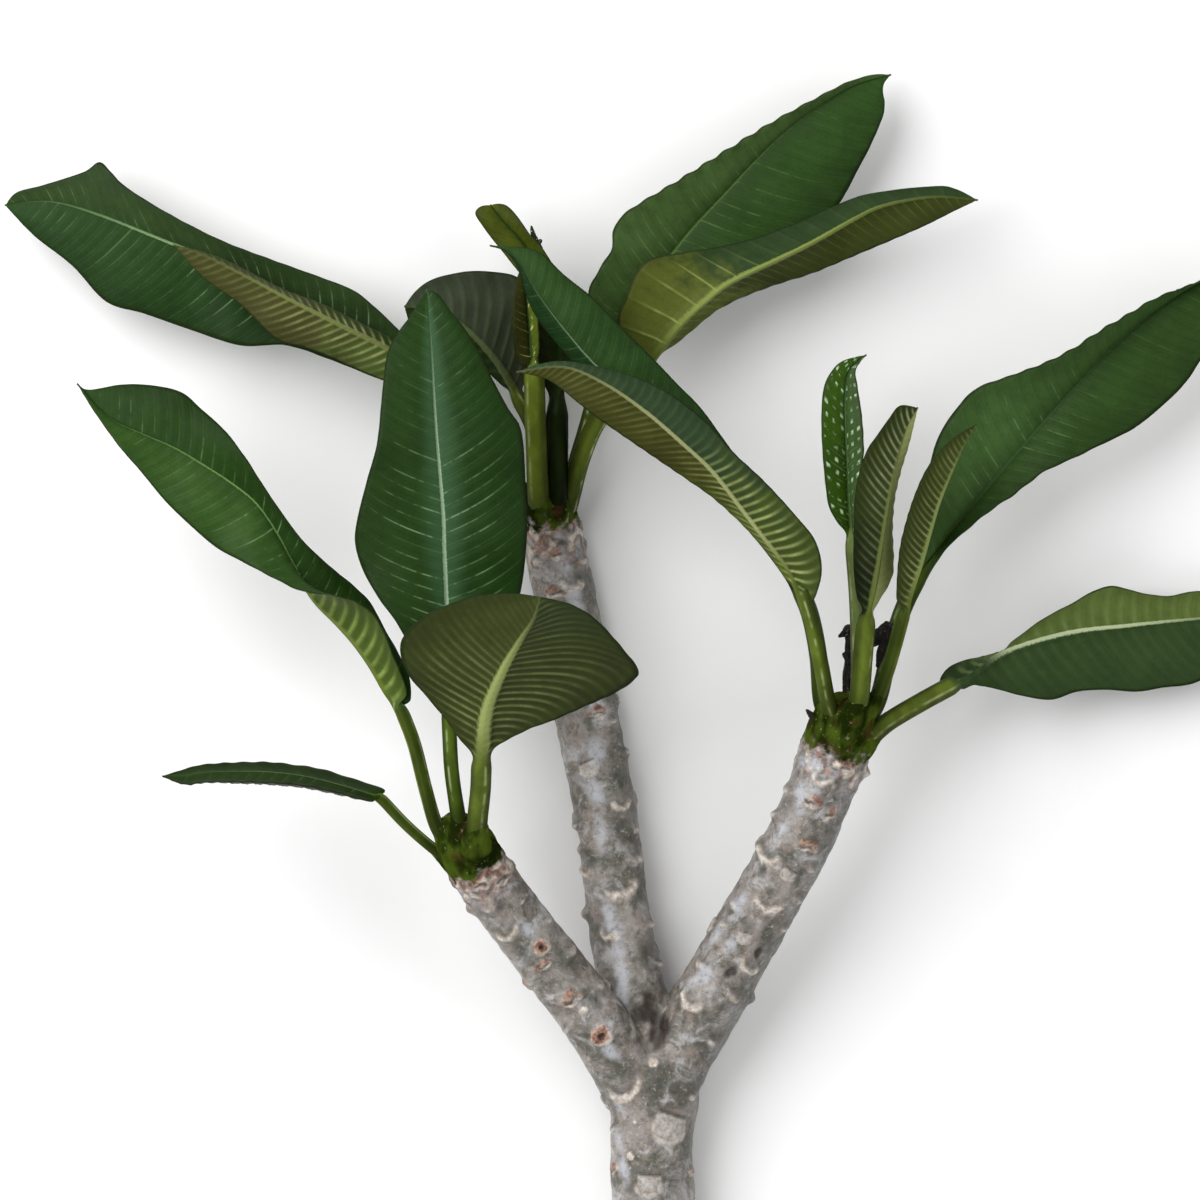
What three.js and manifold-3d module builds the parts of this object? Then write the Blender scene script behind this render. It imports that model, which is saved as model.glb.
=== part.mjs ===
// A cut plumeria branch: a grey trunk that forks into three bare arms, each with a whorl of leaves.
// It lies on its back. Millimetres; x runs to the right, y along the trunk towards the leaves,
// z up from the surface that it lies on.
import * as THREE from 'three';
import { mergeVertices } from 'three/addons/utils/BufferGeometryUtils.js';
import Module from 'manifold-3d';

// thickness of a leaf blade, and the clearance round a stalk in its socket
const BLADE = 1.0;
const CLEARANCE = 0.3;
// the stalk of a leaf: its rings, its thinner root, and where along it the socket's rings end
const STALK_RINGS = 6;
const ROOT_TAPER = 0.8;
const ROOT_TAPER_END = 1 / 3;
const SOCKET_END = 0.7;
// the rib under a blade: its radius at the base as a share of the stalk's, how it thins, its tip
const RIB_SHARE = 0.62;
const RIB_FALL = 0.8;
const TIP_RADIUS = 0.5;
// the ridge of the rib ends this many rib radii out on a wing, or at this share of a narrow one
const RIDGE_REACH = 1.3;
const RIDGE_MOST = 0.3;
// a wing narrower than this many radii of the stalk melts into it
const MELT_WIDTH = 3;
// a blade's half width along it: where it is widest and how full it is
const WIDEST = 0.85;
const FULLNESS = 0.75;
// gentle waves along a margin from its base to its tip, and by how much the right one lags
const WAVES = 5;
const WAVE_LAG = 1.7;
// where along a blade its sideways direction is first and last read
const FRAME_FROM = 0.12;
const FRAME_TO = 0.88;
// the rib's crest leans a little towards the wider wing, and never by more than this cosine
const CREST_LEAN = 0.02;
const CREST_LEAST = 0.25;
const TINY = 1e-6;
// the wood: sides of its section, and the low swellings where old leaves stood. Those on its front
// are placed one by one, those on its back by a spiral.
const STEM_SIDES = 18;
const LIMB_RINGS = { trunk: 13, left: 26, middle: 42, right: 32 };
const SCAR_RELIEF = 1.5;
const BACK_SCAR_STEP = 11;
const BACK_SCAR_TURN = 2.4;
const BACK_SCAR_SIZE = 5.5;
const BACK_SCAR_REACH = 3;
// thorn-like stumps of old leaf bases: foot, point and foot radius
const SPURS = {
  stem: [
    { foot: [91.5, -29.5, 66], point: [84.5, -20.5, 69], radius: 2.5 },
    { foot: [-36.5, 78.5, 17], point: [-30.5, 85, 18], radius: 2.5 },
  ],
  middle_leaf_5: [{ foot: [-51.5, 208.5, 39.5], point: [-53, 221.5, 41], radius: 2.2 }],
};
const SPUR_SIDES = 7;
const DRIED_RINGS = 8;
const DRIED_SIDES = 10;
// a block this large lies under the surface and cuts the wood flat where it rests
const SHEET = 400;


const LIMBS = {
  trunk: [[9, -297, 20, 20.5], [8, -266, 20.5, 21], [7.5, -236, 21.5, 20.5], [9, -211, 23, 22.5],
    [9.5, -191, 24.5, 21]],
  left: [[9, -231, 22, 17], [0, -208.5, 27, 18], [-15, -185, 36, 17], [-30.5, -164.5, 45, 15.5],
    [-46, -144.5, 53, 15], [-61.5, -124.5, 62, 15], [-74.5, -106.5, 71, 15], [-85, -90, 80, 14.5],
    [-88.5, -80.5, 85, 12], [-89, -75, 88, 7]],
  middle: [[8.5, -221, 23, 19], [4, -191, 22.5, 18.5], [-1.5, -166, 21.5, 17], [-6.5, -141, 20, 16],
    [-10.5, -113.5, 19, 15.5], [-14, -83.5, 18, 15.5], [-18.5, -58.5, 17.5, 16],
    [-23.5, -33.5, 17, 16], [-29.5, -1, 16.5, 16], [-35.5, 31.5, 15.5, 15.5], [-39.5, 54, 15.5, 15],
    [-42.5, 70, 16, 14.5], [-44, 80, 16.5, 12.5], [-44.5, 85.5, 17, 8]],
  right: [[7.5, -226, 23, 18], [15.5, -201, 25, 19], [27.5, -180, 28, 18.5], [40.5, -158.5, 33, 18],
    [54, -135, 38, 17], [68, -110, 44, 17], [80, -88.5, 49, 17], [90, -66, 55, 16.5],
    [97.5, -45, 60, 17], [103, -29, 64, 16.5], [105.5, -19, 66.5, 13], [106.5, -14, 67.5, 8]],
};

const LEAVES = {
  left_leaf_1: {
    stalk: [[-90.5, -91, 83], [-99.5, -80, 86], [-105.5, -60.5, 88], [-111, -38.5, 88],
      [-117.5, -21, 88]],
    rib: [[-117.5, -21, 88], [-124.5, -12.5, 87], [-132, 0.5, 87], [-140.5, 12.5, 87], [-150, 23, 87],
      [-160.5, 33.5, 88], [-169.5, 47.5, 90], [-179, 66, 92], [-189.5, 82, 94], [-201.5, 92, 94],
      [-215.5, 101, 93], [-231, 110, 91], [-248.5, 117.5, 88], [-264.5, 125.5, 84], [-279.5, 142, 79]],
    left: [[-117.5, -21], [-115, -11], [-121.5, 6.5], [-128.5, 23], [-137.5, 32], [-150, 36],
      [-167, 38.5], [-182, 45.5], [-195.5, 52.5], [-209.5, 60], [-221.5, 70], [-235, 83], [-247, 97.5],
      [-259, 111.5], [-270.5, 127.5], [-279.5, 142]],
    right: [[-117.5, -21], [-113, -16], [-114, -3], [-120, 9], [-126.5, 20.5], [-133, 32.5],
      [-142, 41.5], [-154, 51.5], [-166, 63], [-176, 76], [-185.5, 90], [-195.5, 105.5],
      [-205.5, 118.5], [-217.5, 129.5], [-227, 137.5], [-241, 141], [-257, 141.5], [-273.5, 139],
      [-279.5, 142]],
    leftLift: [1, 0.9, 0.6, 0.5, 0.5], rightLift: [-1, -0.5, 0.2, 0.4, 0.4], half: 31,
    stalkRadius: 4.4, wave: 0.8, cup: 0.05, rings: 14,
  },
  left_leaf_2: {
    stalk: [[-87.5, -84, 86], [-90, -69, 93], [-92.5, -51, 95], [-93.5, -33.5, 95], [-94, -22, 95]],
    rib: [[-94, -22, 95], [-94.5, 4, 96], [-95, 32.5, 98], [-96, 59, 101], [-96.5, 76, 102],
      [-98.5, 99.5, 102], [-100.5, 123.5, 100], [-102.5, 159, 94], [-105, 189, 86]],
    left: [[-94, -22], [-106, -3.5], [-118.5, 20.5], [-128.5, 34.5], [-136.5, 48.5], [-140.5, 62],
      [-139.5, 74], [-134.5, 94], [-129.5, 112.5], [-127, 138], [-124.5, 157], [-119.5, 167],
      [-113, 176], [-105, 189]],
    right: [[-94, -22], [-83.5, -8.5], [-69.5, 11.5], [-59, 34], [-55, 64], [-55.5, 90],
      [-57.5, 117.5], [-64.5, 130], [-72, 144], [-78.5, 157], [-86, 169.5], [-92.5, 177.5],
      [-99, 186.5], [-105, 189]],
    leftLift: [0.3, 0.3, 0.3, 0.2], rightLift: [0.3, 0.3, 0.3, 0.2], half: 43,
    stalkRadius: 4.6, wave: 0.8, cup: 0.05, rings: 16,
  },
  left_leaf_3: {
    stalk: [[-81, -89, 92], [-79.5, -74.5, 101], [-78, -60.5, 111], [-77.5, -48.5, 122]],
    rib: [[-77.5, -48.5, 122], [-75, -22, 139], [-67.5, -2.5, 156], [-58, 14, 176], [-50.5, 25, 190],
      [-48, 28.5, 197]],
    left: [[-77.5, -48.5], [-70, -39], [-53.5, -30], [-42.5, -26], [-26.5, -19], [-11, -12],
      [-1.5, -5.5], [0.5, -0.5], [-6, 8.5], [-15.5, 19.5], [-24, 28], [-36, 33.5], [-48, 28.5]],
    right: [[-77.5, -48.5], [-84.5, -40.5], [-95.5, -25], [-105.5, -13], [-114, -2.5], [-117.5, 8],
      [-116, 16], [-106.5, 25.5], [-95.5, 31], [-82.5, 35.5], [-69.5, 37], [-53.5, 35.5], [-48, 28.5]],
    leftLift: [0.1, -0.1, -0.3], rightLift: [0.1, -0.1, -0.3], half: 60,
    stalkRadius: 5.2, wave: 0.8, cup: 0.04, rings: 16,
  },
  left_leaf_4: {
    stalk: [[-89.5, -99, 77], [-96.5, -94, 78], [-105.5, -87, 81], [-116.5, -77, 85], [-128, -64.5, 88]],
    rib: [[-128, -64.5, 88], [-141.5, -60, 90], [-158, -55.5, 91], [-171, -53, 91], [-189, -51.5, 89],
      [-214.5, -52, 84], [-225.5, -54, 80], [-237, -54, 76]],
    left: [[-128, -64.5], [-132.5, -66.5], [-141.5, -64], [-156.5, -60], [-171, -57.5], [-189, -56.5],
      [-214.5, -56.5], [-225.5, -58], [-237, -54]],
    right: [[-128, -64.5], [-126.5, -60.5], [-141.5, -55.5], [-158, -50.5], [-171, -48.5], [-187, -47],
      [-214.5, -48], [-225.5, -50.5], [-237, -54]],
    leftLift: [1, 1, 1], rightLift: [-1, -1, -1], half: 28,
    stalkRadius: 3.4, wave: 0.6, cup: -0.1, rings: 14,
  },
  middle_leaf_1: {
    stalk: [[-47, 69, 11], [-54.5, 84, 11.5], [-68.5, 102, 18], [-93.5, 131.5, 27], [-106, 147, 31]],
    rib: [[-106, 147, 31], [-123.5, 161.5, 33], [-148.5, 176, 34], [-178, 189, 34],
      [-203.5, 202.5, 34], [-232, 212.5, 33], [-265, 225.5, 31], [-288.5, 233, 28], [-303.5, 234, 25],
      [-317, 232, 21]],
    left: [[-106, 147], [-113.5, 141.5], [-127, 144], [-152.5, 154], [-175.5, 161.5], [-198.5, 161.5],
      [-224, 169.5], [-247, 177.5], [-266, 183.5], [-283, 201.5], [-302, 216.5], [-317, 232]],
    right: [[-106, 147], [-108.5, 158], [-119.5, 169.5], [-131, 180.5], [-141, 188.5], [-152.5, 193.5],
      [-184.5, 205], [-209, 214.5], [-234.5, 227.5], [-256, 241], [-263.5, 248.5], [-269.5, 253.5],
      [-277.5, 248.5], [-298, 242], [-311, 238.5], [-317, 232]],
    leftLift: [0.3, 0.3, 0.2], rightLift: [0.2, 0.2, 0.2], half: 38,
    stalkRadius: 4.3, wave: 0.8, cup: 0.04, rings: 16,
  },
  middle_leaf_2: {
    stalk: [[-48, 67, 18], [-57.5, 84, 22], [-69.5, 104, 36], [-91, 131.5, 52], [-102.5, 143, 56]],
    rib: [[-102.5, 143, 56], [-121, 157.5, 59], [-143.5, 169, 61], [-168.5, 181.5, 62],
      [-196, 196, 61], [-216, 206, 60], [-232, 211.5, 58]],
    left: [[-102.5, 143], [-106, 153], [-118.5, 162.5], [-140, 173.5], [-158.5, 182.5], [-178, 190],
      [-203.5, 203], [-218.5, 208.5], [-232, 211.5]],
    right: [[-102.5, 143], [-112.5, 139.5], [-127, 144], [-143.5, 151], [-154.5, 156], [-167, 160.5],
      [-180.5, 164.5], [-197.5, 181], [-216.5, 195], [-232, 211.5]],
    leftLift: [-0.3, -0.3, -0.2], rightLift: [-0.3, -0.3, -0.2], half: 26,
    stalkRadius: 4.3, wave: 0.6, cup: 0.05, rings: 14,
  },
  middle_leaf_3: {
    stalk: [[-44, 74.5, 16], [-45.5, 87, 20], [-51.5, 119, 30], [-59, 135, 38]],
    rib: [[-59, 135, 38], [-70, 153, 43], [-83.5, 168, 45], [-98.5, 178, 45], [-116.5, 181, 43]],
    left: [[-59, 135], [-55.5, 146.5], [-56.5, 174], [-58, 191.5], [-61.5, 196.5], [-73.5, 198.5],
      [-86, 198.5], [-101.5, 195], [-110.5, 189], [-116.5, 181]],
    right: [[-59, 135], [-66.5, 140.5], [-74.5, 148], [-83.5, 154], [-93.5, 159], [-104.5, 165],
      [-113, 171.5], [-116.5, 181]],
    leftLift: [-0.2, -0.2, -0.2], rightLift: [-0.2, -0.2, -0.2], half: 34,
    stalkRadius: 4.3, wave: 0.6, cup: 0.05, rings: 14,
  },
  middle_leaf_4: {
    stalk: [[-48, 77, 27], [-49.5, 88, 35], [-50.5, 114, 44], [-51.5, 148, 51]],
    rib: [[-51.5, 148, 51], [-53, 164, 53], [-54.5, 179, 54], [-56, 191.5, 54], [-58, 201, 53]],
    left: [[-51.5, 148], [-59.5, 153], [-62, 166.5], [-62, 181.5], [-60.5, 193], [-58, 201]],
    right: [[-51.5, 148], [-49, 158], [-49.5, 174], [-51.5, 186.5], [-54.5, 195], [-58, 201]],
    leftLift: [0.6, 0.8, 0.6], rightLift: [0.6, 0.8, 0.6], half: 13,
    stalkRadius: 4.9, wave: 0, cup: 0.08, rings: 9,
  },
  middle_leaf_5: {
    stalk: [[-40, 77.5, 27], [-38.5, 88, 31], [-37.5, 114, 34], [-39, 146.5, 36]],
    rib: [[-39, 146.5, 36], [-40.5, 164, 37], [-43, 179, 38], [-48.5, 197.5, 39], [-56.5, 212.5, 40],
      [-65.5, 222, 40], [-74, 230, 39]],
    left: [[-39, 146.5], [-46, 156.5], [-50, 175], [-55, 191.5], [-63, 203], [-71, 213],
      [-77.5, 221.5], [-80.5, 227.5], [-74, 230]],
    right: [[-39, 146.5], [-32, 159], [-33, 179], [-39.5, 196.5], [-46.5, 209], [-53.5, 217],
      [-59.5, 225.5], [-65.5, 232.5], [-74, 230]],
    leftLift: [0.3, 0.4, 0.4], rightLift: [0.4, 0.5, 0.5], half: 19,
    stalkRadius: 4.5, wave: 0, cup: 0.08, rings: 14,
  },
  middle_leaf_6: {
    stalk: [[-39.5, 70, 11], [-33, 84, 10.5], [-28, 106.5, 13], [-22.5, 129, 17], [-15.5, 158, 22]],
    rib: [[-15.5, 158, 22], [-5, 180, 25], [6.5, 194.5, 26], [17.5, 208, 27], [29, 222, 28],
      [44, 238, 29], [59, 254, 29], [74, 268.5, 28], [91, 281.5, 27], [109, 292, 25], [127.5, 297.5, 22]],
    left: [[-15.5, 158], [-22, 165], [-25, 178], [-24, 189.5], [-20, 198], [-13, 209.5], [-11.5, 220],
      [-4.5, 229], [21, 244.5], [46.5, 260.5], [68.5, 274], [92.5, 287], [107, 294.5], [119.5, 299.5],
      [127.5, 297.5]],
    right: [[-15.5, 158], [-6, 160.5], [11.5, 169], [31.5, 177], [51.5, 185.5], [71.5, 199],
      [89, 216.5], [102, 233.5], [111.5, 251], [117.5, 262.5], [124, 279], [123.5, 291.5],
      [127.5, 297.5]],
    leftLift: [0.3, 0.3, 0.2], rightLift: [0.2, 0.2, 0.2], half: 42,
    stalkRadius: 4.5, wave: 0.9, cup: 0.04, rings: 16,
  },
  middle_leaf_7: {
    stalk: [[-36.5, 68, 19], [-30, 82.5, 23], [-26.5, 105, 33], [-18.5, 125, 41], [1.5, 150, 50]],
    rib: [[1.5, 150, 50], [10.5, 159.5, 54], [21.5, 173, 58], [33.5, 184, 61], [46.5, 193.5, 63],
      [75, 206.5, 65], [91, 214.5, 65], [107, 223.5, 64], [123, 231, 62], [148.5, 235.5, 59],
      [170.5, 234, 56]],
    left: [[1.5, 150], [11, 156.5], [21, 163.5], [30.5, 171.5], [40, 179], [52.5, 185.5], [70, 192],
      [87.5, 197.5], [107, 205.5], [126, 213.5], [143.5, 221], [159.5, 229], [170.5, 234]],
    right: [[1.5, 150], [-5.5, 161.5], [-9.5, 174.5], [-5.5, 185.5], [0, 198.5], [8, 205], [21, 207.5],
      [43, 211], [62, 216], [83, 224], [100.5, 232], [118, 237.5], [148.5, 241], [159.5, 239.5],
      [170.5, 234]],
    leftLift: [-0.5, -0.5, -0.4], rightLift: [-0.4, -0.4, -0.3], half: 34,
    stalkRadius: 4.8, wave: 0.8, cup: 0.05, rings: 16,
  },
  right_leaf_1: {
    stalk: [[100.5, -29, 72], [95.5, -17.5, 80], [92, 0.5, 89], [87.5, 21.5, 97], [82.5, 38, 102]],
    rib: [[82.5, 38, 102], [74, 51.5, 105], [64, 64, 107], [51.5, 80, 109], [37.5, 98, 111],
      [22.5, 112, 112], [4.5, 127.5, 112], [-16, 141.5, 111], [-36.5, 150, 109], [-60, 147.5, 105]],
    left: [[82.5, 38], [87.5, 33.5], [92, 48], [89, 63], [79.5, 75.5], [63.5, 93], [47.5, 108],
      [34, 123], [16.5, 136.5], [-1, 145], [-18.5, 150], [-36, 153], [-48.5, 151.5], [-60, 147.5]],
    right: [[82.5, 38], [76.5, 41], [66.5, 55.5], [54, 70], [39, 84], [26.5, 93], [9.5, 104.5],
      [-16, 122], [-28.5, 131.5], [-44, 143.5], [-60, 147.5]],
    leftLift: [-0.4, -0.3, -0.2], rightLift: [-0.4, -0.4, -0.3], half: 30,
    stalkRadius: 5, wave: 0.9, cup: 0.05, rings: 14,
  },
  right_leaf_2: {
    stalk: [[98, -29.5, 58], [92.5, -16, 62], [90.5, 6.5, 68], [86.5, 26.5, 72], [81.5, 39, 74]],
    rib: [[81.5, 39, 74], [71.5, 55, 76], [54, 79, 78], [31.5, 108, 79], [9, 135, 80], [-8.5, 156, 80],
      [-23.5, 172.5, 80], [-36, 185, 80], [-48.5, 198, 79], [-59.5, 206, 78], [-73.5, 211, 75]],
    left: [[81.5, 39], [74, 44], [59, 64], [41.5, 84], [21.5, 103], [1.5, 124], [-13.5, 139],
      [-25, 153], [-37.5, 168.5], [-46.5, 180], [-54, 190], [-58.5, 200.5], [-65, 207.5], [-73.5, 211]],
    right: [[81.5, 39], [85.5, 49], [79, 68], [66.5, 86.5], [49, 106.5], [32.5, 129], [20, 142],
      [9.5, 153], [0.5, 162], [-11, 173.5], [-21, 184], [-36.5, 196.5], [-49, 208], [-61.5, 210.5],
      [-73.5, 211]],
    leftLift: [0.3, 0.3, 0.3], rightLift: [0.3, 0.4, 0.5], half: 20,
    stalkRadius: 4.5, wave: 0.6, cup: 0.05, rings: 14,
  },
  right_leaf_3: {
    stalk: [[109.5, -24, 66], [111, -11, 69], [111, 9, 72], [110, 36.5, 75], [108, 61.5, 77]],
    rib: [[108, 61.5, 77], [106.5, 76.5, 77], [105.5, 94, 78], [104.5, 114, 78], [104, 134, 78],
      [105.5, 148, 77], [114.5, 156.5, 75]],
    left: [[108, 61.5], [101.5, 70.5], [96, 80], [94, 92], [92.5, 109], [92, 125], [93, 139],
      [96.5, 147.5], [102.5, 153.5], [114.5, 156.5]],
    right: [[108, 61.5], [111, 76.5], [112, 94], [113, 110], [112, 126.5], [110, 140], [109, 149],
      [114.5, 156.5]],
    leftLift: [0.5, 0.7, 0.5], rightLift: [0.9, 0.9, 0.6], half: 15,
    stalkRadius: 4.3, wave: 0, cup: 0.08, rings: 10,
  },
  right_leaf_4: {
    stalk: [[108, -25, 77], [111, -13.5, 84], [112.5, 4, 90], [114, 23, 93]],
    rib: [[114, 23, 92], [118, 39, 94], [121.5, 59, 95], [125, 81.5, 95], [129.5, 104, 94],
      [134.5, 120.5, 92], [140, 130, 89]],
    left: [[114, 23], [120, 32.5], [127, 45], [128, 56], [127.5, 69], [128.5, 84], [131.5, 98],
      [135.5, 111.5], [138, 122], [140, 130]],
    right: [[114, 23], [110, 34], [108, 49], [108, 66.5], [108.5, 84], [110.5, 96.5], [114.5, 108.5],
      [119.5, 116], [125.5, 124.5], [131, 131], [140, 130]],
    leftLift: [-0.9, -0.9, -0.6], rightLift: [-0.2, -0.3, -0.3], half: 22,
    stalkRadius: 5, wave: 0, cup: 0.05, rings: 12,
  },
  right_leaf_5: {
    stalk: [[114.5, -22, 72], [120, -14.5, 77], [125, -1.5, 81], [129.5, 14, 84], [133, 27, 86]],
    rib: [[133, 27, 86], [137, 40, 87], [141.5, 53, 88], [146, 68.5, 88], [150.5, 83, 88],
      [156.5, 97.5, 87], [163.5, 112.5, 85], [169, 121.5, 83]],
    left: [[133, 27], [131, 35], [133, 54], [136.5, 70], [141.5, 85.5], [148.5, 100], [159, 113],
      [169, 121.5]],
    right: [[133, 27], [129.5, 34], [130.5, 56], [133.5, 71], [139, 88], [146, 102], [156.5, 114],
      [169, 121.5]],
    leftLift: [-0.8, -0.8, -0.6], rightLift: [0.7, 0.8, 0.6], half: 18,
    stalkRadius: 4.2, wave: 0, cup: 0.05, rings: 12,
  },
  right_leaf_6: {
    stalk: [[111.5, -31, 54], [120.5, -16, 50], [126, 6.5, 49], [133, 29, 49], [141.5, 46.5, 48]],
    rib: [[141.5, 46.5, 48], [161.5, 73, 46], [186.5, 103, 43], [206, 126, 41], [225, 147, 39],
      [242, 164, 37], [260.5, 179.5, 35], [286.5, 196, 32], [317, 207, 27]],
    left: [[141.5, 46.5], [144, 61.5], [145, 84], [146.5, 101.5], [151.5, 117], [160, 130], [170, 140],
      [186, 146], [203.5, 152.5], [217.5, 159.5], [232, 169], [246.5, 177.5], [260.5, 185.5],
      [281.5, 193.5], [300.5, 201.5], [317, 207]],
    right: [[141.5, 46.5], [149.5, 53], [156.5, 61.5], [174.5, 77], [189, 87], [203.5, 98],
      [217.5, 104.5], [232, 111.5], [249, 120], [263.5, 131.5], [275, 143], [284, 156.5],
      [300.5, 180.5], [317, 207]],
    leftLift: [0.7, 0.6, 0.5, 0.4], rightLift: [0.3, 0.3, 0.2, 0.2], half: 40,
    stalkRadius: 4.4, wave: 0.9, cup: 0.04, rings: 16,
  },
  right_leaf_7: {
    stalk: [[109.5, -41, 65], [117.5, -33.5, 67], [126, -26.5, 65], [144, -16, 58], [158, -8.5, 52]],
    rib: [[158, -8.5, 52], [174, 1.5, 47], [187.5, 9, 42], [217.5, 17.5, 34], [246.5, 21, 28],
      [276.5, 24, 20], [299, 26, 10], [314.5, 28, 0.6]],
    left: [[158, -8.5], [162, -12], [170, -9], [181.5, -11], [193, -14], [207.5, -16], [220.5, -12],
      [235, -11], [250.5, -12], [263.5, -10], [281.5, -7], [300.5, 6.5], [314.5, 28]],
    right: [[158, -8.5], [151.5, -6.5], [159, 2], [181.5, 8], [188.5, 13.5], [203.5, 24.5],
      [217.5, 32], [229, 38.5], [239, 41], [253.5, 37.5], [266.5, 36], [281.5, 38.5], [300.5, 36],
      [314.5, 28]],
    leftLift: [-0.2, -0.2, -0.1], rightLift: [-0.2, -0.2, -0.1], half: 33,
    stalkRadius: 5.6, wave: 0.9, cup: 0.04, rings: 16,
  },
};

const FRONT_SCARS = {
  trunk: [[-9, -212.5, 6.5], [18, -230, 9.5], [-4.5, -245, 4.5], [6.5, -259, 7], [31, -250, 4.5],
    [1.5, -278.5, 7], [19.5, -285, 6]],
  left: [[-17, -185, 6.5], [-26.5, -172, 4.5], [-34.5, -166.5, 6.5], [-46.5, -143, 6],
    [-66, -131.5, 5.5], [-56.5, -115, 5.5], [-68.5, -106.5, 6.5], [-85.5, -110, 4.5], [-51, -158.5, 4]],
  middle: [[6, -172, 6], [-11.5, -138, 4.5], [-7.5, -110, 6.5], [-26, -100, 4], [-6.5, -66, 5],
    [-25.5, -51.5, 5], [-17.5, -22.5, 6], [-31.5, -11, 4], [-40.5, 9, 4.5], [-24.5, 14, 4.5],
    [-41, 39, 5.5], [-31.5, 45, 5], [-38.5, 58, 5], [-48.5, 61.5, 4]],
  right: [[29, -166, 6], [38.5, -186, 4.5], [48, -152, 4.5], [57.5, -148, 5], [72, -130, 4.5],
    [68.5, -118, 5], [54, -128.5, 4], [66, -92, 6], [87.5, -89, 5.5], [76.5, -102, 4],
    [95.5, -73.5, 5.5], [84, -66, 4.5], [107.5, -50, 5], [92.5, -53.5, 4.5]],
};

const DRIED_STALK = {
  stalk: [[107.5, -23, 60, 2.5], [105.5, -11, 62, 2.5], [106.5, 9, 63, 3], [107, 16, 64, 3],
    [105.5, 20.5, 66, 3]],
  branch: [[106.5, 6.5, 62, 2.5], [112.5, 11, 61, 2.5], [119, 14, 62, 3], [124.5, 18, 66, 4.5],
    [126.5, 22, 68, 3]],
};

const wasm = await Module();
wasm.setup();

// A value picked along a short list of control values, straight between neighbours.
function along(values, v) {
  const place = Math.min(Math.max(v, 0), 1) * (values.length - 1);
  const k = Math.min(Math.floor(place), values.length - 2);
  return values[k] + (values[k + 1] - values[k]) * (place - k);
}

// A smooth curve through hand-picked points; a margin is picked in plan, so it has no height.
function curve(points) {
  return new THREE.CatmullRomCurve3(
    points.map(([x, y, z = 0]) => new THREE.Vector3(x, y, z)), false, 'catmullrom', 0.5);
}

// One closed body from rings of points, with a fan of triangles over each end.
function skin(rings) {
  const count = rings[0].length;
  const positions = rings.flat().flatMap((p) => [p.x, p.y, p.z]);
  const first = rings.length * count;
  for (const ring of [rings[0], rings.at(-1)]) {
    const middle = ring.reduce((sum, p) => sum.add(p), new THREE.Vector3()).divideScalar(count);
    positions.push(middle.x, middle.y, middle.z);
  }
  const faces = [];
  for (let i = 0; i + 1 < rings.length; i++) {
    for (let j = 0; j < count; j++) {
      const a = i * count + j;
      const b = i * count + ((j + 1) % count);
      const c = a + count;
      const d = b + count;
      // the two faces of a blade are split along the same diagonal
      if (j < count / 2) faces.push(a, b, d, a, d, c);
      else faces.push(a, b, c, b, d, c);
    }
  }
  for (let j = 0; j < count; j++) {
    const next = (j + 1) % count;
    const end = (rings.length - 1) * count;
    faces.push(first, next, j, first + 1, end + j, end + next);
  }
  const geometry = new THREE.BufferGeometry();
  geometry.setAttribute('position', new THREE.Float32BufferAttribute(positions, 3));
  geometry.setIndex(faces);
  return geometry;
}

// Faces turned to point out: the signed volume of a closed mesh is positive then.
function facedOut(geometry) {
  const p = geometry.attributes.position;
  const f = geometry.index.array;
  const [a, b, c] = [new THREE.Vector3(), new THREE.Vector3(), new THREE.Vector3()];
  let volume = 0;
  for (let i = 0; i < f.length; i += 3) {
    a.fromBufferAttribute(p, f[i]);
    b.fromBufferAttribute(p, f[i + 1]);
    c.fromBufferAttribute(p, f[i + 2]);
    volume += a.dot(b.cross(c));
  }
  if (volume < 0) for (let i = 0; i < f.length; i += 3) [f[i], f[i + 1]] = [f[i + 1], f[i]];
  return geometry;
}

// The columns of a leaf's section: from the left margin over the top to the right one and back.
const COLUMNS = [
  { side: 'left', out: 1.0, face: 1 }, { side: 'left', out: 0.6, face: 1 },
  { side: 'left', out: 0.0, face: 1 }, { side: 'rib', out: 0.0, face: 1 },
  { side: 'right', out: 0.0, face: 1 }, { side: 'right', out: 0.6, face: 1 },
  { side: 'right', out: 1.0, face: 1 }, { side: 'right', out: 1.0, face: -1 },
  { side: 'right', out: 0.6, face: -1 }, { side: 'right', out: 0.0, face: -1 },
  { side: 'rib', out: 0.0, face: -1 }, { side: 'left', out: 0.0, face: -1 },
  { side: 'left', out: 0.6, face: -1 }, { side: 'left', out: 1.0, face: -1 },
];

const HALF_RING = COLUMNS.length / 2;

const bladeWidth = (v) => Math.sin(Math.PI * v ** WIDEST) ** FULLNESS;

// The corner of a round section that belongs to a column.
function roundCorner(at, side, up, radius, j) {
  const angle = Math.PI * (1 - (j + 0.5) / HALF_RING);
  return at.clone()
    .addScaledVector(side, radius * Math.cos(angle))
    .addScaledVector(up, radius * Math.sin(angle));
}

// One wing as a vector from the rib to the margin, at its true width and raised by its lift.
function wingOf(leaf, rib, margin, lift, lag, v) {
  const from = rib.getPointAt(v);
  const edge = margin.getPointAt(v);
  const wing = new THREE.Vector3(edge.x - from.x, edge.y - from.y, 0);
  const reach = leaf.half * bladeWidth(v);
  const rise = Math.sqrt(Math.max(0, reach * reach - wing.lengthSq()));
  const ripple = leaf.wave * Math.sin(2 * Math.PI * WAVES * v + lag) * bladeWidth(v);
  wing.z = along(lift, v) * rise + ripple;
  return wing;
}

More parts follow.
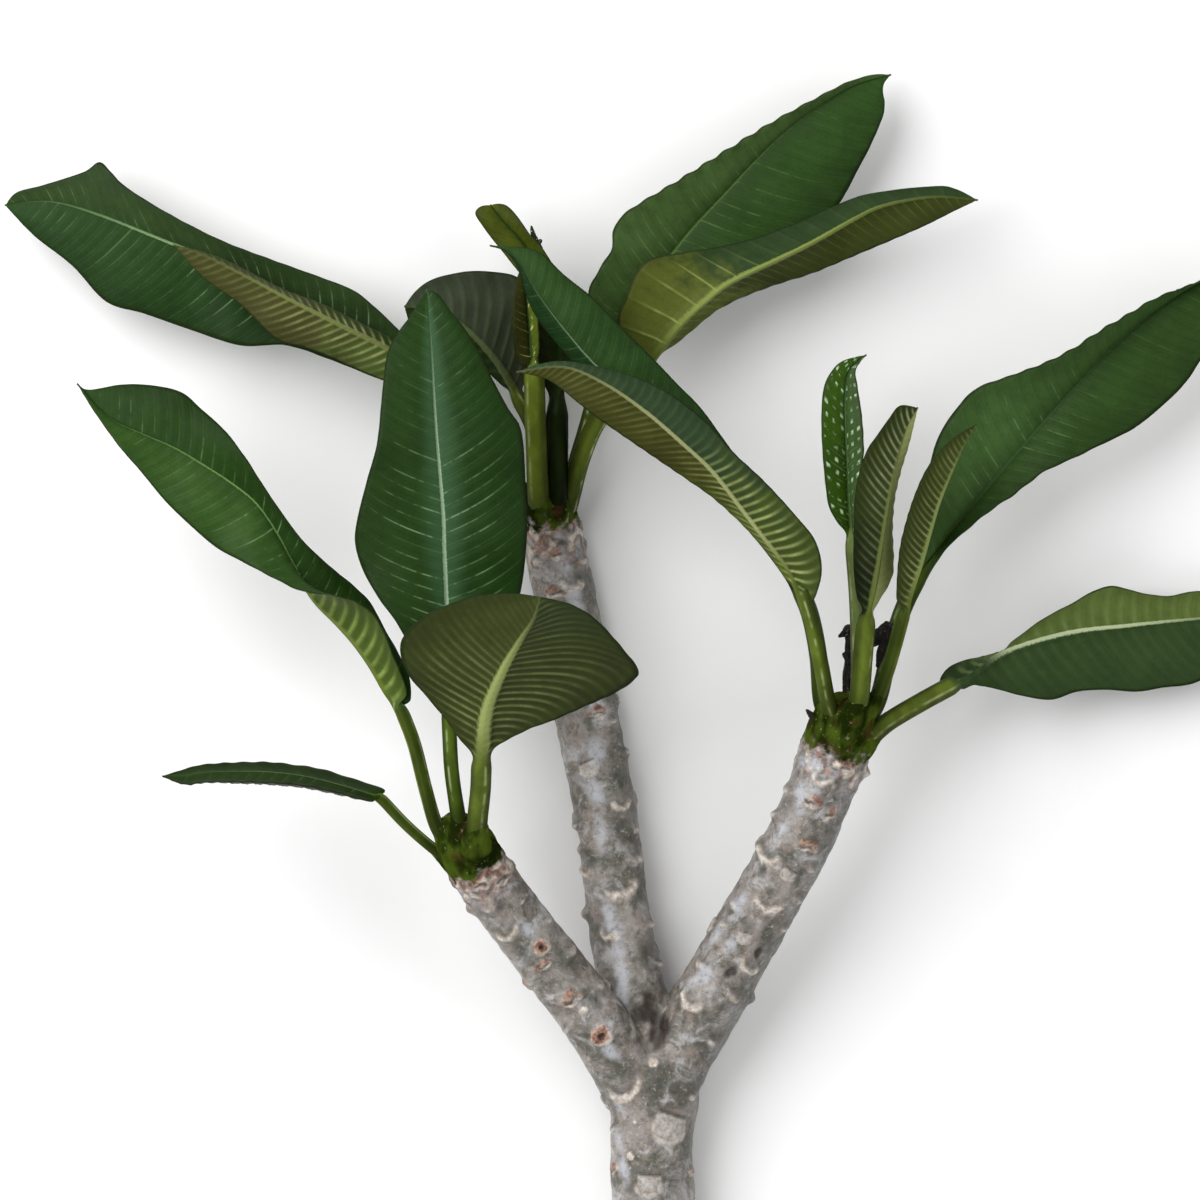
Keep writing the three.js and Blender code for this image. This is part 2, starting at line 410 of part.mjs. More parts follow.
// The places along a leaf where its section is drawn, from the root over the stalk to the tip,
// each with the directions sideways and up there.
function leafStations(leaf) {
  const stalk = curve(leaf.stalk);
  const rib = curve(leaf.rib);
  const margins = { left: curve(leaf.left), right: curve(leaf.right) };
  const left = (v) => wingOf(leaf, rib, margins.left, leaf.leftLift, 0, v);
  const right = (v) => wingOf(leaf, rib, margins.right, leaf.rightLift, WAVE_LAG, v);
  const stations = [];
  for (let i = 0; i < STALK_RINGS; i++) {
    const t = i / STALK_RINGS;
    stations.push({ at: stalk.getPointAt(t), tangent: stalk.getTangentAt(t), v: 0, t });
  }
  for (let i = 0; i <= leaf.rings; i++) {
    const v = i / leaf.rings;
    stations.push({ at: rib.getPointAt(v), tangent: rib.getTangentAt(v), v, t: 1 });
  }
  for (const station of stations) {
    const open = Math.min(Math.max(station.v, FRAME_FROM), FRAME_TO);
    const across = right(open).normalize().sub(left(open).normalize());
    across.addScaledVector(station.tangent, -across.dot(station.tangent));
    station.side = across.normalize();
    station.up = new THREE.Vector3().crossVectors(station.side, station.tangent).normalize();
    const root = ROOT_TAPER + (1 - ROOT_TAPER) * Math.min(1, station.t / ROOT_TAPER_END);
    station.stalkRadius = leaf.stalkRadius * root;
    const closed = station.v === 0 || station.v === 1;
    station.left = closed ? new THREE.Vector3() : left(station.v);
    station.right = closed ? new THREE.Vector3() : right(station.v);
  }
  return stations;
}

// The socket of a leaf: a round hole a little wider and deeper than the root that stands in it.
function socketRings(leaf) {
  const deep = leafStations(leaf).filter(({ t }) => t < SOCKET_END);
  return deep.map(({ at, tangent, side, up, stalkRadius }, i) => {
    const centre = at.clone().addScaledVector(tangent, i === 0 ? -CLEARANCE : 0);
    const reach = (stalkRadius + CLEARANCE) / Math.cos(Math.PI / COLUMNS.length);
    return COLUMNS.map((column, j) => roundCorner(centre, side, up, reach, j));
  });
}

// A leaf: a round stalk that widens into two thin wings beside a rib that stands out underneath.
function leafRings(leaf) {
  return leafStations(leaf).map(({ at, tangent, side, up, v, stalkRadius, left, right }) => {
    const ribRadius = leaf.stalkRadius * RIB_SHARE * (1 - v) ** RIB_FALL + TIP_RADIUS;
    const radius = v === 0 ? stalkRadius : ribRadius;
    const wings = {};
    for (const [name, out, turn] of [['left', left, -1], ['right', right, 1]]) {
      const width = out.length();
      const normal = new THREE.Vector3().crossVectors(out, tangent).multiplyScalar(turn);
      if (width < TINY) normal.copy(up);
      const flatness = THREE.MathUtils.smoothstep(width, 0, MELT_WIDTH * radius);
      wings[name] = { out, width, flatness, normal: normal.normalize() };
    }
    const crest = wings.left.normal.clone().add(wings.right.normal)
      .addScaledVector(left, CREST_LEAN).addScaledVector(right, CREST_LEAN).normalize();
    const lean = Math.max(CREST_LEAST, crest.dot(wings.left.normal));
    return COLUMNS.map((column, j) => {
      const round = roundCorner(at, side, up, radius, j);
      if (column.side === 'rib') {
        const height = column.face > 0 ? BLADE / 2 / lean : -ribRadius;
        const ridge = at.clone().addScaledVector(crest, height);
        return round.lerp(ridge, (wings.left.flatness + wings.right.flatness) / 2);
      }
      const { out, width, normal, flatness } = wings[column.side];
      const ridgeEnd = Math.min(RIDGE_MOST, (RIDGE_REACH * ribRadius) / Math.max(width, TINY));
      const reach = column.out > 0 ? column.out : ridgeEnd;
      const arch = leaf.cup * width * 4 * reach * (1 - reach);
      const blade = at.clone()
        .addScaledVector(out, reach)
        .addScaledVector(normal, arch + (column.face * BLADE) / 2);
      return round.lerp(blade, flatness);
    });
  });
}

// A three.js shape with only its shared corners left.
function merged(geometry) {
  geometry.deleteAttribute('normal');
  geometry.deleteAttribute('uv');
  return mergeVertices(geometry);
}

// A solid that manifold-3d can join and cut.
function solid(geometry) {
  const bare = facedOut(geometry);
  return new wasm.Manifold(new wasm.Mesh({
    numProp: 3,
    vertProperties: new Float32Array(bare.attributes.position.array),
    triVerts: new Uint32Array(bare.index.array),
  }));
}

function geometryOf(body) {
  const mesh = body.getMesh();
  const geometry = new THREE.BufferGeometry();
  geometry.setAttribute('position', new THREE.BufferAttribute(mesh.vertProperties, 3));
  geometry.setIndex(new THREE.BufferAttribute(mesh.triVerts, 1));
  return geometry;
}

// How far leaf scars lift the bark at one place of a limb.
function swelling(place, outward, along, turn, length, scars) {
  let lift = 0;
  if (outward.z > 0) {
    for (const [x, y, size] of scars) {
      const far = Math.hypot(place.x - x, place.y - y) / size;
      lift += SCAR_RELIEF * Math.exp(-far * far);
    }
    return lift;
  }
  for (let k = 0; k * BACK_SCAR_STEP < length; k++) {
    const off = turn - k * BACK_SCAR_TURN;
    const round = Math.atan2(Math.sin(off), Math.cos(off)) * BACK_SCAR_SIZE * BACK_SCAR_REACH;
    const far = Math.hypot(round, along - k * BACK_SCAR_STEP) / BACK_SCAR_SIZE;
    lift += SCAR_RELIEF * Math.exp(-far * far);
  }
  return lift * -outward.z;
}

// One limb of the wood: a round section swept along its axis. Its radius is each point's fourth value.
function limb(points, rings, sides = STEM_SIDES, scars = null) {
  const axis = curve(points);
  const radii = points.map((p) => p[3]);
  const length = axis.getLength();
  const sections = [];
  for (let i = 0; i <= rings; i++) {
    const t = i / rings;
    const at = axis.getPointAt(t);
    const tangent = axis.getTangentAt(t);
    const side = new THREE.Vector3(0, 0, 1).cross(tangent).normalize().negate();
    const up = new THREE.Vector3().crossVectors(side, tangent).normalize();
    const radius = along(radii, axis.getUtoTmapping(t));
    sections.push(Array.from({ length: sides }, (_, j) => {
      const turn = (2 * Math.PI * j) / sides;
      const outward = side.clone().multiplyScalar(Math.cos(turn)).addScaledVector(up, Math.sin(turn));
      const place = at.clone().addScaledVector(outward, radius);
      if (!scars) return place;
      const lift = swelling(place, outward, t * length, turn, length, scars);
      return place.addScaledVector(outward, lift);
    }));
  }
  return skin(sections);
}

const material = (color, roughness) => new THREE.MeshStandardMaterial({ color, roughness });
const bark = material('#96918b', 0.8);
const leafGreen = material('#2f5124', 0.4);
const driedBrown = material('#2b2620', 0.8);

// Adds a node's thorn-like stumps to it.
function spurred(name, body) {
  for (const { foot, point, radius } of SPURS[name] ?? []) {
    const [from, to] = [new THREE.Vector3(...foot), new THREE.Vector3(...point)];
    const way = to.clone().sub(from);
    const cone = merged(new THREE.ConeGeometry(radius, way.length(), SPUR_SIDES));
    cone.applyQuaternion(new THREE.Quaternion().setFromUnitVectors(
      new THREE.Vector3(0, 1, 0), way.normalize()));
    cone.translate(...from.add(to).divideScalar(2).toArray());
    body = body.add(solid(cone));
  }
  return body;
}

const branch = new THREE.Group();
function add(name, body, finish) {
  const mesh = new THREE.Mesh(geometryOf(body), finish);
  mesh.name = name;
  branch.add(mesh);
}

// the wood: the trunk and its arms joined, cut flat where they rest, with a socket for each root
const [trunk, ...arms] = Object.entries(LIMBS).map(([name, points]) =>
  solid(limb(points, LIMB_RINGS[name], STEM_SIDES, FRONT_SCARS[name])));
let wood = arms.reduce((joined, arm) => joined.add(arm), trunk);
const below = new THREE.BoxGeometry(2 * SHEET, 2 * SHEET, SHEET).translate(0, 0, -SHEET / 2);
wood = spurred('stem', wood.subtract(solid(merged(below))));
for (const leaf of Object.values(LEAVES)) wood = wood.subtract(solid(skin(socketRings(leaf))));

// the dried stalk, and its socket: the same round, wider and deeper by the clearance
const [upright, sidelong] = [DRIED_STALK.stalk, DRIED_STALK.branch].map((points) =>
  solid(limb(points, DRIED_RINGS, DRIED_SIDES)));
const facet = Math.cos(Math.PI / DRIED_SIDES);
const hole = DRIED_STALK.stalk.map(([x, y, z, radius], i) =>
  [x, i === 0 ? y - CLEARANCE : y, z, radius + CLEARANCE / facet]);
wood = wood.subtract(solid(limb(hole, DRIED_RINGS, DRIED_SIDES)));

add('stem', wood, bark);
for (const [name, leaf] of Object.entries(LEAVES)) {
  add(name, spurred(name, solid(skin(leafRings(leaf)))), leafGreen);
}
add('dried_stalk', upright.add(sidelong), driedBrown);

export default branch;
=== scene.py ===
# A cut plumeria branch lying on its back, seen from straight above. In the shared frame x runs to
# the right, y along the trunk towards the leaves and z up from the floor. The plant's sizes and
# those of every finish are in millimetres here, the studio's in metres.
import math

import bpy
import numpy as np
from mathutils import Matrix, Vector, noise


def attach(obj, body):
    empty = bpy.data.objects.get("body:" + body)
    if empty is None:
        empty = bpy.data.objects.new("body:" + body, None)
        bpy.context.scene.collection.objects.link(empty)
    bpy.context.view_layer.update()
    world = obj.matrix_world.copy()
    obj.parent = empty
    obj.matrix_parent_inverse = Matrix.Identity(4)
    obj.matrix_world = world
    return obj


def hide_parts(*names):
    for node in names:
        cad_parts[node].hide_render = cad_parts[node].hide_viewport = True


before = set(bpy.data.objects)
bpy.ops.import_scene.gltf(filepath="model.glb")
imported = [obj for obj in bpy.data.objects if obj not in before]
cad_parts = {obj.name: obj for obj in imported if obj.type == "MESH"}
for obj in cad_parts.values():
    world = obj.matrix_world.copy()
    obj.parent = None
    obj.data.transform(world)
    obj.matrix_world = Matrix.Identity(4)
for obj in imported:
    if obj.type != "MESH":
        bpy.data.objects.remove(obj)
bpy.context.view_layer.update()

# The wood: a grey trunk that forks into three bare arms, smooth-barked and full of the scars of old
# leaves. It grew in one piece. Where arms meet, the bark runs over from one into the other.
MM = 0.001
# Each limb's axis from its foot outwards: x, y, z and radius, in millimetres.
LIMBS = {
    "trunk": [(9, -297, 19.8, 20.6), (8, -266, 20.3, 20.8), (7.5, -236, 21.6, 20.6),
        (9, -211, 23.2, 22.5), (9.5, -191, 24.5, 21)],
    "left": [(9, -231, 22, 17), (0, -208.5, 27, 18), (-15, -185, 36, 17), (-30.5, -164.5, 45, 15.5),
        (-46, -144.5, 53, 15.2), (-61.5, -124.5, 62, 15), (-74.5, -106.5, 71, 14.8),
        (-85, -90, 80, 14.6), (-88.5, -80.5, 85, 12), (-89, -75, 88, 7)],
    "middle": [(8.5, -221, 23, 19), (4, -191, 22.5, 18.5), (-1.5, -166, 21.5, 17), (-6.5, -141, 20, 16),
        (-10.5, -113.5, 18.8, 15.4), (-14, -83.5, 18, 15.4), (-18.5, -58.5, 17.6, 15.8),
        (-23.5, -33.5, 17.2, 16), (-29.5, -1, 16.4, 16), (-35.5, 31.5, 15.7, 15.4),
        (-39.5, 54, 15.6, 15), (-42.5, 70, 16, 14.5), (-44, 80, 16.5, 12.5), (-44.5, 85.5, 17, 8)],
    "right": [(7.5, -226, 23, 18), (15.5, -201, 25, 19), (27.5, -180, 28, 18.6),
        (40.5, -158.5, 33, 17.8), (54, -135, 38, 17), (68, -110, 44, 17), (80, -88.5, 49, 16.8),
        (90, -66, 55, 16.6), (97.5, -45, 60, 16.8), (103, -29, 64, 16.6), (105.5, -19, 66.5, 13),
        (106.5, -14, 67.5, 8)],
}
# Each leaf stalk's foot in the wood, where it heads from there, and its radius. The wood swells
# into a green cushion round each foot: CUSHION gives places past the foot and shares of the radius.
LEAF_FEET = {
    "left_leaf_1": ((-90.5, -91, 83), (-99.5, -80, 86), 3.5),
    "left_leaf_2": ((-87.5, -84, 86), (-90, -69, 93), 3.7),
    "left_leaf_3": ((-81, -89, 92), (-79.5, -74.5, 101), 5.2),
    "left_leaf_4": ((-89.5, -99, 77), (-96.5, -94, 78), 2.8),
    "middle_leaf_1": ((-47, 69, 11), (-54.5, 84, 11.5), 4.3),
    "middle_leaf_2": ((-48, 67, 18), (-57.5, 84, 22), 4.3),
    "middle_leaf_3": ((-44, 74.5, 16), (-45.5, 87, 20), 4.3),
    "middle_leaf_4": ((-48, 77, 27), (-49.5, 88, 35), 4.9),
    "middle_leaf_5": ((-41, 77.5, 27), (-40.5, 88, 31), 4.5),
    "middle_leaf_6": ((-40.5, 72, 12), (-35.5, 84.5, 11), 4.5),
    "middle_leaf_7": ((-38.5, 70, 19), (-34, 83.5, 24), 4.8),
    "right_leaf_1": ((100.5, -29, 72), (95.5, -17.5, 80), 3.9),
    "right_leaf_2": ((98, -29.5, 58), (92.5, -16, 62), 4.5),
    "right_leaf_3": ((109.5, -24, 66), (111, -11, 69), 4.3),
    "right_leaf_4": ((108, -25, 77), (111, -13.5, 84), 5),
    "right_leaf_5": ((114.5, -22, 72), (120, -14.5, 77), 3.5),
    "right_leaf_6": ((111.5, -31, 54), (120.5, -16, 50), 4.4),
    "right_leaf_7": ((109.5, -41, 65), (117.5, -33.5, 67), 4.8),
}
ARM_HEARTS = {"left": (-85, -88.5, 80), "middle": (-44, 80, 16.5), "right": (103, -27, 64)}
CUSHION = [(-4, 1.35), (3, 1.5), (14, 0.9)]
HEART_SHARE, LARGEST_HEART = 1.4, 6
LIMB_SIDES = 56
LIMB_STEP = 1.5
BARK_VOXEL = 0.85
FORK_SOFTENING = 14


def smooth_path(points, places):
    """Places at given shares of the length of a smooth curve through given points."""
    knots = np.array(points, float)
    padded = np.vstack([2 * knots[0] - knots[1], knots, 2 * knots[-1] - knots[-2]])
    t = np.linspace(0, 1, 24, endpoint=False)[:, None]
    fine = []
    for before, here, there, after in zip(padded, padded[1:], padded[2:], padded[3:]):
        leave, arrive = (there - before) / 2, (after - here) / 2
        fine.append((2 * t**3 - 3 * t**2 + 1) * here + (t**3 - 2 * t**2 + t) * leave
                    + (3 * t**2 - 2 * t**3) * there + (t**3 - t**2) * arrive)
    fine = np.vstack(fine + [knots[-1:]])
    run = np.concatenate([[0], np.cumsum(np.linalg.norm(np.diff(fine[:, :3], axis=0), axis=1))])
    return np.stack([np.interp(np.asarray(places) * run[-1], run, axis) for axis in fine.T], axis=1)


def unit(vectors):
    return vectors / np.maximum(np.linalg.norm(vectors, axis=-1, keepdims=True), 1e-9)


def smoothstep(x, low, high):
    t = np.clip((x - low) / (high - low), 0, 1)
    return t * t * (3 - 2 * t)


def path_length(points):
    fine = smooth_path(points, np.linspace(0, 1, 200))
    return np.linalg.norm(np.diff(fine[:, :3], axis=0), axis=1).sum()


def limb_axis(points):
    """A limb's axis every LIMB_STEP: places, radii, directions and distance from its foot."""
    count = int(path_length(points) / LIMB_STEP) + 1
    path = smooth_path(points, np.linspace(0, 1, count))
    return path[:, :3], path[:, 3], unit(np.gradient(path[:, :3], axis=0)), np.arange(count) * LIMB_STEP


def ring_faces(rings, around):
    """Quads between rings of points, and one face over each end."""
    i = np.arange(rings - 1)[:, None] * around
    j = np.arange(around)
    turn = (j + 1) % around
    quads = np.stack([i + j, i + turn, i + around + turn, i + around + j], axis=-1).reshape(-1, 4)
    last = (rings - 1) * around
    return quads.tolist() + [j[::-1].tolist(), (last + j).tolist()]


def swept(points, sides):
    """A round tube along a limb's axis."""
    places, radii, way, _ = limb_axis(points)
    side = unit(np.cross(way, (0.0, 0.0, 1.0)))
    up = np.cross(side, way)
    turn = np.linspace(0, 2 * math.pi, sides, endpoint=False)[None, :, None]
    ring = np.cos(turn) * side[:, None] + np.sin(turn) * up[:, None]
    points = places[:, None] + ring * radii[:, None, None]
    return points.reshape(-1, 3), ring_faces(len(places), sides)


def new_piece(name, points, faces):
    """A mesh object from points in millimetres, smooth-shaded."""
    mesh = bpy.data.meshes.new(name)
    mesh.from_pydata((np.asarray(points) * MM).tolist(), [], faces)
    mesh.update()
    mesh.shade_smooth()
    piece = bpy.data.objects.new(name, mesh)
    bpy.context.scene.collection.objects.link(piece)
    return piece


def applied(piece):
    """Leaves a piece's mesh as its modifiers make it."""
    seen = piece.evaluated_get(bpy.context.evaluated_depsgraph_get())
    mesh = bpy.data.meshes.new_from_object(seen)
    piece.modifiers.clear()
    piece.data = mesh


def points_of(piece):
    flat = np.empty(len(piece.data.vertices) * 3)
    piece.data.vertices.foreach_get("co", flat)
    return flat.reshape(-1, 3) / MM


def normals_of(piece):
    flat = np.empty(len(piece.data.vertices) * 3)
    piece.data.vertices.foreach_get("normal", flat)
    return flat.reshape(-1, 3)


def move_points(piece, points):
    piece.data.vertices.foreach_set("co", (points * MM).ravel())
    piece.data.update()


def rough(points, size, seed=0.0):
    """Soft noise between about -1 and 1, with lumps of about size."""
    shift = Vector((seed * 7.3, seed * 3.1, seed * 5.7))
    return np.array([noise.noise(Vector(p) / size + shift) for p in points.tolist()])


def mark(piece, name, values):
    """Keeps one number per point for the material to read."""
    kept = piece.data.attributes.new(name, "FLOAT", "POINT")
    kept.data.foreach_set("value", np.asarray(values, np.float32))


def paint(code, shade=1.0):
    """A screen colour such as "808080" as the linear colour that a shader takes."""
    parts = [int(code[i:i + 2], 16) / 255 for i in (0, 2, 4)]
    return [shade * (c / 12.92 if c <= 0.04045 else ((c + 0.055) / 1.055) ** 2.4) for c in parts] + [1]


class Finish:
    """A material and short words for the shader nodes that paint it."""

    def __init__(self, name, **shader):
        self.material = bpy.data.materials.new(name)
        self.material.use_nodes = True
        self.tree = self.material.node_tree
        self.shader = self.tree.nodes["Principled BSDF"]
        for socket, value in shader.items():
            self.shader.inputs[socket.replace("_", " ")].default_value = value

    def node(self, kind, inputs, out=0, **settings):
        made = self.tree.nodes.new("ShaderNode" + kind)
        for name, value in settings.items():
            setattr(made, name, value)
        for place, value in inputs.items():
            if isinstance(value, bpy.types.NodeSocket):
                self.tree.links.new(value, made.inputs[place])
            else:
                made.inputs[place].default_value = value
        return made.outputs[out]

    def read(self, name):
        return self.node("Attribute", {}, "Fac", attribute_name=name)

    def math(self, kind, a, b=0.0):
        return self.node("Math", {0: a, 1: b}, operation=kind)

    def times(self, a, b):
        return self.math("MULTIPLY", a, b)

    def step(self, x, low, high, lowest=0.0, highest=1.0):
        return self.node("MapRange", {0: x, 1: low, 2: high, 3: lowest, 4: highest},
                         interpolation_type="SMOOTHSTEP")

    def noise(self, size, detail=4.0, roughness=0.55, stretch=None, distortion=0.0):
        place = self.node("TexCoord", {}, "Object")
        if stretch:
            place = self.node("Mapping", {0: place, 3: stretch})
        return self.node("TexNoise", {"Vector": place, "Scale": 1 / (size * MM), "Detail": detail,
                                      "Roughness": roughness, "Distortion": distortion})

    def over(self, share, below, above):
        below, above = (paint(colour) if isinstance(colour, str) else colour for colour in (below, above))
        return self.node("Mix", {0: share, 6: below, 7: above}, 2, data_type="RGBA")

    def darker(self, share, colour, shade):
        return self.node("Mix", {0: share, 6: colour, 7: (shade, shade, shade, 1)}, 2,
                         data_type="RGBA", blend_type="MULTIPLY")

    def done(self, colour, height, depth, **more):
        self.tree.links.new(colour, self.shader.inputs["Base Color"])
        bump = self.node("Bump", {"Strength": 1.0, "Distance": depth * MM, "Height": height})
        self.tree.links.new(bump, self.shader.inputs["Normal"])
        for socket, value in more.items():
            self.tree.links.new(value, self.shader.inputs[socket.replace("_", " ")])
        return self.material


def cushion(name):
    """The green swelling that a leaf stalk stands in, from the heart of the arm's tip outwards."""
    foot, ahead, radius = LEAF_FEET[name]
    heart = ARM_HEARTS[name.split("_")[0]]
    foot = np.array(foot)
    way = unit(ahead - foot)
    swelling = [(*(foot + place * way), share * radius) for place, share in CUSHION]
    return [(*heart, min(LARGEST_HEART, HEART_SHARE * radius)), *swelling]


tubes = []
for points in [*LIMBS.values(), *(cushion(name) for name in LEAF_FEET)]:
    tubes.append(swept(points, LIMB_SIDES))
offsets = np.cumsum([0] + [len(points) for points, _ in tubes])
wood = new_piece("bark", np.vstack([points for points, _ in tubes]),
                 [[k + shift for k in face] for (_, faces), shift in zip(tubes, offsets) for face in faces])
remesh = wood.modifiers.new("join", "REMESH")
remesh.mode = "VOXEL"
remesh.voxel_size = BARK_VOXEL * MM
remesh.use_smooth_shade = True
soften = wood.modifiers.new("soften", "SMOOTH")
soften.factor = 0.5
soften.iterations = FORK_SOFTENING
applied(wood)

# Scars: x, y and radius of each on the bark's front, and its kind. A shield is a raised round scar with a
# pale lower rim and painted shade in the groove along its top, a crescent only that rim with painted shadow
# inside it, a pit a rusty hole in a pale ring, its hole darkened with painted shade, rust a torn rusty
# patch with a crack darkened by painted shade, a knob a pale bump, a hollow a dip darkened with painted
# shade and chalk a small white spot. Bloom places are smooth pale places, on the front mostly a painted
# highlight along the arms' lit side. Damp places are smooth dark places of painted shade on the arms'
# shaded side. The back has its own in a spiral, each kind with its radius.
FRONT_SCARS = [
    (-8.5, -210, 9, "crescent"), (18, -229, 9.5, "shield"), (-4, -245, 3, "chalk"),
    (-2, -228, 1.2, "chalk"), (5.5, -259, 7, "shield"), (31, -252, 4, "rust"),
    (-12, -251, 4, "rust"), (1.5, -286, 8, "shield"), (19.5, -285, 7.5, "crescent"),
    (7.5, -197, 3.5, "chalk"), (27.5, -215, 4.5, "knob"), (-11.5, -231, 4, "knob"),
    (-9.5, -219, 5, "bloom_and_highlight"), (-10, -236, 5, "bloom_and_highlight"), (-7.5, -253.5, 5.5, "bloom_and_highlight"),
    (7.5, -205, 9, "damp_and_shade"), (23.5, -215, 6, "damp_and_shade"), (-4.5, -261, 6, "damp_and_shade"),
    (26.5, -241, 6, "damp_and_shade"), (-17, -185, 6, "pit"), (-27, -172.5, 3, "chalk"),
    (-34.5, -166.5, 6.5, "rust"), (-46.5, -140, 5, "pit"), (-45.5, -149, 4, "rust"),
    (-66.5, -131.5, 6, "crescent"), (-57, -114.5, 4.5, "rust"), (-67.5, -106, 6, "rust"),
    (-78.5, -108, 5.5, "rust"), (-54, -154, 4, "knob"), (-33, -141, 4.5, "knob"),
    (-34.5, -181, 4, "knob"), (-24, -195, 4, "knob"), (-68.5, -93.5, 4.5, "rust"),
    (-83.5, -100, 4.5, "rust"), (-44.5, -126, 3.5, "knob"), (-74.5, -120, 4, "knob"),
    (-18.5, -158.5, 4.5, "knob"), (-38.5, -118.5, 4.5, "bloom_and_highlight"), (-53.5, -131, 5, "bloom_and_highlight"),
    (-13.5, -191, 5, "bloom_and_highlight"), (-37.5, -143.5, 6.5, "damp_and_shade"), (-22.5, -166, 6, "damp_and_shade"),
    (-8.5, -203.5, 7, "damp_and_shade"), (-58.5, -143.5, 4.5, "damp_and_shade"), (-68.5, -118.5, 4.5, "damp_and_shade"),
    (6.5, -171.5, 9.5, "hollow"), (10, -182.5, 8, "hollow"), (1.5, -178, 5.5, "damp_and_shade"),
    (9.5, -174, 7, "damp_and_shade"), (11.5, -148.5, 4, "knob"), (-12.5, -134.5, 4, "chalk"),
    (-7.5, -108.5, 8, "crescent"), (-26, -100, 5, "crescent"), (1, -95.5, 3.5, "knob"),
    (-28.5, -91, 3.5, "knob"), (-31.5, -79, 3.5, "knob"), (-7.5, -65, 5.5, "crescent"),
    (-25.5, -50, 5, "shield"), (-5.5, -42, 3.5, "knob"), (-19, -22, 5, "rust"),
    (-34.5, -51, 3.5, "knob"), (-31, -11, 5, "crescent"), (-23.5, 14, 5.5, "crescent"),
    (-41, 38, 5.5, "rust"), (-31.5, 45, 6, "crescent"), (-38.5, 58, 5, "rust"),
    (-49.5, 54, 4.5, "knob"), (-44.5, 68, 4.5, "rust"), (-27, 54, 4, "knob"),
    (-12.5, -26, 3.5, "knob"), (-0.5, -81, 3.5, "knob"), (-14.5, -131, 4.5, "crescent"),
    (6.5, -128.5, 3.5, "knob"), (-21, -41, 6.5, "bloom_and_highlight"), (-23.5, -61, 6, "bloom_and_highlight"),
    (-18.5, -83.5, 5.5, "bloom_and_highlight"), (-15, -122, 5.5, "bloom_and_highlight"), (-13, -131, 5.5, "bloom_and_highlight"),
    (-11, -141, 5.5, "bloom_and_highlight"), (-9, -151, 5.5, "bloom_and_highlight"), (-7.5, -162, 5, "bloom_and_highlight"),
    (-20.5, -16, 7, "bloom_and_highlight"), (-29.5, 34, 6, "bloom_and_highlight"), (-35.5, 54, 4.5, "bloom_and_highlight"),
    (-7.5, -53.5, 6, "damp_and_shade"), (-4.5, -81, 7, "damp_and_shade"), (1.5, -113.5, 7.5, "damp_and_shade"),
    (5.5, -143.5, 7.5, "damp_and_shade"), (7.5, -170, 8, "damp_and_shade"), (-24.5, -96, 5, "damp_and_shade"),
    (-22.5, -28.5, 4, "damp_and_shade"), (-42.5, 61.5, 5, "damp_and_shade"), (-28.5, 46.5, 4.5, "damp_and_shade"),
    (-37.5, 29, 4.5, "damp_and_shade"), (-13.5, -11, 4.5, "damp_and_shade"), (27.5, -164, 7, "crescent"),
    (37.5, -187, 4, "knob"), (48, -152.5, 3.5, "hollow"), (58, -148.5, 6, "crescent"),
    (73.5, -130.5, 3.5, "knob"), (65.5, -116.5, 7.5, "crescent"), (48.5, -118.5, 4.5, "knob"),
    (43.5, -128.5, 4, "knob"), (60, -87, 4, "knob"), (66, -91, 7.5, "crescent"),
    (85.5, -89.5, 5.5, "rust"), (76.5, -104, 4, "shield"), (96, -73.5, 4.5, "rust"),
    (85.5, -67, 5.5, "rust"), (104, -50, 4.5, "rust"), (92.5, -53.5, 5.5, "crescent"),
    (75.5, -60, 4, "knob"), (49, -166, 4, "knob"), (31.5, -148.5, 4, "knob"),
    (61.5, -143.5, 3, "hollow"), (81.5, -116, 3.5, "knob"), (67.5, -72, 3.5, "knob"),
    (87.5, -100, 3.5, "knob"), (54, -136, 4, "shield"), (87.5, -51, 7, "bloom_and_highlight"),
    (81.5, -66, 5.5, "bloom_and_highlight"), (71.5, -81, 6, "bloom_and_highlight"), (51.5, -116, 5.5, "bloom_and_highlight"),
    (39, -133.5, 5.5, "bloom_and_highlight"), (31.5, -153.5, 6, "bloom_and_highlight"), (46.5, -138.5, 4.5, "bloom_and_highlight"),
    (55.5, -158.5, 6.5, "damp_and_shade"), (67.5, -133.5, 6, "damp_and_shade"), (42.5, -172, 6.5, "damp_and_shade"),
    (62.5, -100, 5, "damp_and_shade"), (76.5, -96, 4.5, "damp_and_shade"), (54, -131, 4.5, "damp_and_shade"),
    (99, -66, 4.5, "damp_and_shade"), (81.5, -106, 4.5, "damp_and_shade"),
]
BACK_SCARS = {"shield": 5.5, "crescent": 5.5, "pit": 4.0, "rust": 4.5, "knob": 4.0, "bloom_and_highlight": 9.0,
              "damp_and_shade": 9.0}
BACK_SCAR_STEP = 7.0
BACK_SCAR_TURN = 2.4
# The back scars keep this many steps from a limb's foot and from its tip.
FREE_FOOT_STEPS, FREE_TIP_STEPS = 4, 16
# A front scar sits on the highest point that is this near to its place.
SCAR_SEAT = 1.2
# At an arm's tip: how long its green end and the pale band below that are, and how rusty the band is. Each
# limb's right side, turned away from the key lamp, gets painted shade, and the share is how dark that is.
GREEN_TIPS = {"left": 27.0, "middle": 15.0, "right": 27.0}
PALE_BANDS = {"left": 22.0, "middle": 30.0, "right": 26.0}
RUST_BANDS = {"left": 0.35, "middle": 0.1, "right": 0.0}
SHADED_FLANKS = {"trunk": 0.3, "left": 0.3, "middle": 0.9, "right": 0.8}
SWELLING = 1.4
POINTS_AT_ONCE = 20000
FAR_BELOW = 1e3


def lay(layer, near, amount):
    """Raises a layer of the bark's finish to an amount at the points near a scar."""
    layer[near] = np.maximum(layer[near], amount)


points = points_of(wood)
normals = normals_of(wood)
